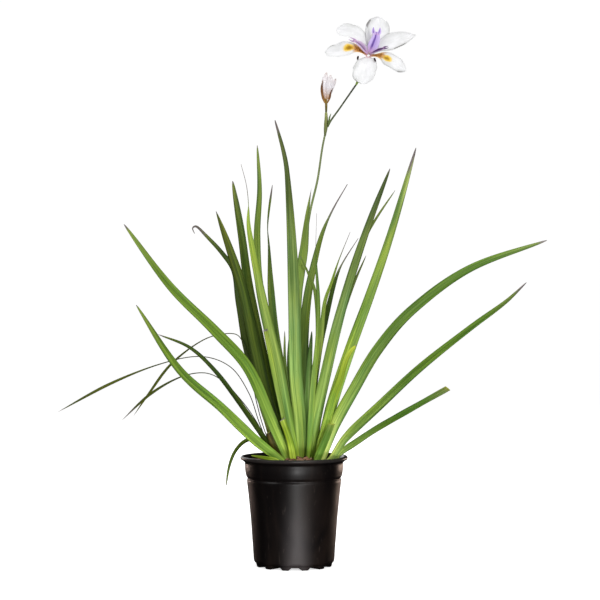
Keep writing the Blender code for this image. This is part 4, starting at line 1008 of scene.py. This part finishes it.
def petal_finish(name, heart, shade, painted_edge_shadow):
    """Thin white petal with faint veins, a pinkish foot and soft grey margins of painted shade, as dark
    as shade says on its two sides. An edge shadow, if given, is a side, -1 or 1, and two reaches between
    which that side's very edge is darkened as painted shadow. One with a heart, its reach and spread, has a
    yellow patch there with an ochre middle, and an orange speckled claw, and less light comes through
    both."""
    f = Finish(name)
    uv, reach, spread = f.uv(), f.mark("reach"), f.mark("spread")
    fan = spread * 13.0 + reach * 1.5
    vein = (fan * TURN / 2.0).cosine() * 0.5 + 0.5
    cloud = f.noise(uv, (90.0, 60.0, 1.0))
    fine = f.noise(uv, (1300.0, 80.0, 1.0), detail=2.0)
    colour = f.mix(cloud.eased(0.38, 0.64) * 0.6, paint(243, 243, 244), paint(224, 225, 224))
    colour = f.mix((vein ** 3.0) * 0.10 + fine.eased(0.5, 0.7) * 0.10, colour, paint(198, 198, 206))
    # painted shade: grey laid on both margins, as strong as shade says for each side
    edge = spread + (cloud - 0.5) * 0.9
    colour = f.mix(edge.eased(-0.42, -1.0) * shade[0], colour, paint(182, 184, 180))
    colour = f.mix(edge.eased(0.42, 1.0) * shade[1], colour, paint(182, 184, 180))
    # painted shadow: a dark stroke along part of one edge, where that margin falls into shade
    if painted_edge_shadow:
        side, start, end = painted_edge_shadow
        rim = (spread * side).eased(0.76, 0.94) * reach.eased(start - 0.05, start)
        rim = rim * reach.eased(end + 0.05, end)
        colour = f.mix(rim * 0.85, colour, paint(84, 82, 74))
    bare = PETAL_GLOW
    if heart:
        blot = f.noise(uv, (330.0, 330.0, 1.0), detail=2.0)
        away = ((reach - heart[0]) * 6.4) ** 2.0 + ((spread - heart[1]) * 1.9) ** 2.0
        away = away + (blot - 0.5) * 0.5
        colour = f.mix(away.eased(1.20, 0.50), colour, paint(240, 208, 104))
        colour = f.mix(away.eased(0.56, 0.16), colour, paint(204, 160, 34))
        colour = f.mix(away.eased(0.20, 0.00) * 0.8, colour, paint(140, 100, 22))
        speck = f.noise(uv, (900.0, 380.0, 1.0), detail=1.0).eased(0.46, 0.60)
        claw = reach.eased(CLAW_END + 0.08, CLAW_END - 0.04)
        core = (spread.size() + (blot - 0.5) * 0.5).eased(0.95, 0.30)
        bare = (1.0 - away.eased(1.20, 0.50)) * (1.0 - claw) * PETAL_GLOW
        colour = f.mix(claw * 0.95, colour, paint(242, 200, 142))
        colour = f.mix(claw * core, colour, paint(206, 140, 56))
        colour = f.mix(claw * core * (speck * 0.9 + 0.05), colour, paint(92, 50, 18))
    colour = f.mix(reach.eased(0.12, 0.0) * 0.8, colour, paint(220, 170, 176))
    height = (vein ** 2.0) * 0.6 + fine * 0.5
    return f.done(colour, 0.55, f.bump(height, 0.00018), {"Specular IOR Level": 0.2},
                  bare, paint(234, 234, 235))


def style_finish(name, middle, margin, line, rib=0.14):
    """Style arm: paler towards its margins, with fine veins of its middle colour, one dark rib that
    runs a little to one side of its middle, rib wide, and a pink base."""
    f = Finish(name)
    uv, reach, spread = f.uv(), f.mark("reach"), f.mark("spread")
    vein = f.noise(uv, (1400.0, 60.0, 1.0), detail=2.0)
    colour = f.ramp(spread.size() + (vein - 0.5) * 0.5, [(0.0, paint(*middle)), (0.9, paint(*margin))])
    colour = f.mix(vein.eased(0.50, 0.68) * 0.35, colour, paint(*middle))
    away = (spread + 0.18).size() + (vein - 0.5) * 0.3
    colour = f.mix(away.eased(rib * 2.0, rib * 0.6) * 0.9, colour, paint(*line))
    colour = f.mix(reach.eased(0.34, 0.0) * 0.75, colour, paint(232, 186, 226))
    return f.done(colour, 0.5, f.bump(vein, 0.0002), {"Specular IOR Level": 0.25}, 0.25, paint(*middle))


def anther_finish():
    """Anther: dark brown, faintly violet, with paler pollen dust on it."""
    f = Finish("anther_dark_finish")
    at = f.place()
    dust = f.noise(at, (2600.0, 2600.0, 2600.0), detail=2.0)
    colour = f.mix(dust.eased(0.56, 0.70) * 0.4, paint(52, 38, 42), paint(140, 118, 92))
    return f.done(colour, 0.8, f.bump(dust, 0.0003), {"Specular IOR Level": 0.3})


# each tepal's heart of the yellow patch (reach, spread), painted grey shade of its two margins, painted
# shadow along part of its edge (side, two reaches) and roll of its two margins
TEPAL_LOOKS = {
    "outer_tepal_left": ((0.44, 0.12), (0.20, 0.38), (1.0, 0.84, 0.93), (0.04, -0.10)),
    "outer_tepal_right": ((0.445, 0.12), (0.28, 0.48), (1.0, 0.86, 0.95), (-0.10, -0.16)),
    "outer_tepal_top": (None, (0.38, 0.56), (-1.0, 0.62, 0.84), (0.16, -0.14)),
    "inner_tepal_front": (None, (0.36, 0.38), (1.0, 0.90, 0.96), (-0.10, -0.12)),
    "inner_tepal_left": (None, (0.34, 0.50), None, (0.08, -0.06)),
    "inner_tepal_right": (None, (0.32, 0.50), (1.0, 0.50, 0.70), (0.10, -0.10)),
}
for seed, (name, through, widths, face) in enumerate(TEPALS):
    heart, shade, painted_edge_shadow, curl = TEPAL_LOOKS[name]
    root = np.array(FLOWER_CENTRE) * 0.75 + np.array(through[0], float) * 0.25
    made = petal([tuple(root)] + through[1:], widths, face, seed=seed + 20, curl=curl)
    slot = "tepal_outer" if name.startswith("outer") else "tepal_inner"
    grown(name + "_skin", name, slot, petal_finish(name + "_finish", heart, shade, painted_edge_shadow), made)

VIOLET = style_finish("style_violet_finish", (190, 164, 226), (226, 208, 248), (98, 66, 160))
# painted shade: the right arm is seen nearly edge-on and in shadow, so its finish is a darker copy of the
# violet
SHADED_VIOLET = style_finish("style_shaded_violet_finish", (96, 60, 112), (150, 112, 168), (56, 28, 66), 0.30)
MAUVE = style_finish("style_mauve_finish", (178, 146, 190), (226, 206, 228), (104, 74, 122))
# each arm's finish, how far its two lobes run on past its end, and how far each stands from its middle, as
# a share of its width
STYLE_LOOKS = {"style_arm_left": (MAUVE, 6.0, 0.30), "style_arm_right": (SHADED_VIOLET, 5.0, 0.30),
               "style_arm_top": (VIOLET, 8.0, 0.42)}
for seed, (name, through, widths, face) in enumerate(STYLE_ARMS):
    look, crest, apart = STYLE_LOOKS[name]
    root = (np.array(FLOWER_CENTRE) + np.array(through[0], float)) / 2.0
    arm = petal([tuple(root)] + through[1:], widths, face, 1.3, 0.05, 0.04, seed + 50, 44, 14, rounding=0.10)
    spots, ways, _ = spline(through, [0.80, 1.0])
    along, across = ways[0], unit(np.cross(ways[0], np.array(face, float)))
    wide = widths[-2]
    lobes = []
    for side in (-1.0, 1.0):
        start = spots[0] + across * (side * 0.22 * wide)
        end = spots[1] + across * (side * apart * wide) + along * crest
        middle = (start + end) / 2 + across * (side * 0.08 * wide)
        lobes.append(petal([start, middle, end], (0.40 * wide, 0.50 * wide, 0.30 * wide, 1.2), face,
                           0.9, 0.08, 0.10, seed * 2 + 60 + int(side), 26, 10, rounding=0.3))
    grown(name + "_skin", name, "style_violet", look, arm, *lobes)

ANTHER = anther_finish()
for seed, (name, low, high) in enumerate(ANTHERS):
    middle = tuple((a + b) / 2 + c for a, b, c in zip(low, high, (0.0, -0.4, 0.5)))
    grown(name + "_skin", name, "anther_dark", ANTHER,
          stalk([low, middle, high], (0.8, 1.5, 1.6, 1.0), 36, 18, 0.8, 0.06, seed + 70, (1.0, 1.0)))

crumpled = [petal(through, widths, (0.1 - 0.3 * k, -1.0, 0.1), 1.0, -0.14, 0.05, 80 + 3 * k, 60, 20,
                  (0.04, 0.04), 0.3) for k, (through, widths) in enumerate(BUD_PETALS)]
grown("bud_petals_skin", "bud_petals", "petal_faded", faded_finish(), *crumpled)


# ---- stage, lights and camera, in metres -------------------------------------------------------------
STAGE_PROFILE = [(0.001, 0.0, 0.0), (7.5, 0.0, 2.5), (8.5, 6.0, 2.5), (4.0, 9.0, 2.0), (0.001, 9.2, 0.0)]
STAGE_GLOW = 0.62
AIR_LIGHT = 0.40
CAMERA_PLACE = (0.0090, -2.8, 0.404)
CAMERA_LENS = 110.4
SENSOR_WIDTH = 36.0
FAR_LIMIT = 60.0
WHITE = (1.0, 1.0, 1.0)
# name, place, aim, width, height, watts, tint and spread in degrees
LAMPS = [
    ("key_lamp", (1.15, -2.5, 1.1), (0.0, 0.0, 0.35), 0.8, 1.6, 46.0, WHITE, 180.0),
    ("left_lamp", (-2.2, -1.3, 1.6), (0.0, 0.0, 0.4), 1.2, 1.2, 18.0, WHITE, 180.0),
    ("top_lamp", (0.2, 0.3, 2.6), (0.0, 0.0, 0.3), 1.6, 1.6, 26.0, WHITE, 180.0),
    ("back_lamp", (-0.9, 2.4, 1.2), (0.0, 0.0, 0.4), 1.2, 1.6, 18.0, WHITE, 180.0),
    ("bounce_card", (0.22, -0.95, 0.01), (0.22, -0.95, 1.0), 0.5, 0.9, 3.0, WHITE, 180.0),
    ("low_card", (0.10, -0.70, 0.02), (0.0, 0.0, 0.05), 0.12, 0.10, 0.22, WHITE, 50.0),
    ("right_warm_card", (0.66, 0.86, 0.08), (0.0, 0.0, 0.08), 0.30, 0.16, 0.075, (1.0, 0.74, 0.60), 24.0),
    ("left_warm_card", (-0.66, 0.80, 0.10), (0.0, 0.0, 0.10), 0.30, 0.16, 0.055, (1.0, 0.74, 0.64), 24.0),
]


def stage():
    """A pale floor that curves up into a round backdrop closed overhead: a profile turned round Z."""
    corners = rounded(STAGE_PROFILE, 12)
    r, z = corners[:, 0][:, None], corners[:, 1][:, None]
    points = capped(turned(r, z, angles(STAGE_COLUMNS)))
    quads, tris = wrapped(len(corners), STAGE_COLUMNS)
    mesh = bpy.data.meshes.new("studio_floor")
    mesh.from_pydata(points.tolist(), [], quads[:, ::-1].tolist() + tris[:, ::-1].tolist())
    f = Finish("studio_floor_finish")
    paper = f.noise(f.place(), (3.0, 3.0, 3.0))
    colour = f.mix(paper * 0.04, (0.90, 0.90, 0.90, 1), (0.86, 0.86, 0.86, 1))
    steady = {"Emission Color": (1, 1, 1, 1), "Emission Strength": STAGE_GLOW, "Specular IOR Level": 0.0}
    mesh.materials.append(f.done(colour, 0.9, None, steady))
    f.material.cycles.emission_sampling = "NONE"
    mesh.shade_smooth()
    floor = bpy.data.objects.new("studio_floor", mesh)
    bpy.context.scene.collection.objects.link(floor)
    floor.visible_diffuse = floor.visible_glossy = floor.visible_shadow = False
    floor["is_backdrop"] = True


def softbox(name, place, aim, width, height, watts, tint, spread):
    """A soft rectangular lamp at place, turned to aim, that lights a cone of spread degrees."""
    data = bpy.data.lights.new(name, "AREA")
    data.shape, data.size, data.size_y, data.energy, data.color = "RECTANGLE", width, height, watts, tint
    data.spread = math.radians(spread)
    lamp = bpy.data.objects.new(name, data)
    place, aim = np.array(place, float), np.array(aim, float)
    lamp.location = place
    lamp.rotation_euler = Vector(aim - place).to_track_quat("-Z", "Y").to_euler()
    lamp.visible_camera = False
    bpy.context.scene.collection.objects.link(lamp)


stage()
for lamp in LAMPS:
    softbox(*lamp)

world = bpy.data.worlds.new("studio_air")
bpy.context.scene.world = world
world.use_nodes = True
background = world.node_tree.nodes["Background"]
background.inputs["Color"].default_value = (1.0, 1.0, 1.0, 1.0)
background.inputs["Strength"].default_value = AIR_LIGHT
world.cycles_visibility.glossy = False
bpy.context.scene.view_settings.view_transform = "Standard"

camera_data = bpy.data.cameras.new("camera")
camera_data.lens, camera_data.sensor_width = CAMERA_LENS, SENSOR_WIDTH
camera_data.clip_end = FAR_LIMIT
camera = bpy.data.objects.new("camera", camera_data)
camera.location = CAMERA_PLACE
camera.rotation_euler = (math.radians(90.0), 0.0, 0.0)
bpy.context.scene.collection.objects.link(camera)
bpy.context.scene.camera = camera

low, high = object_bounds()
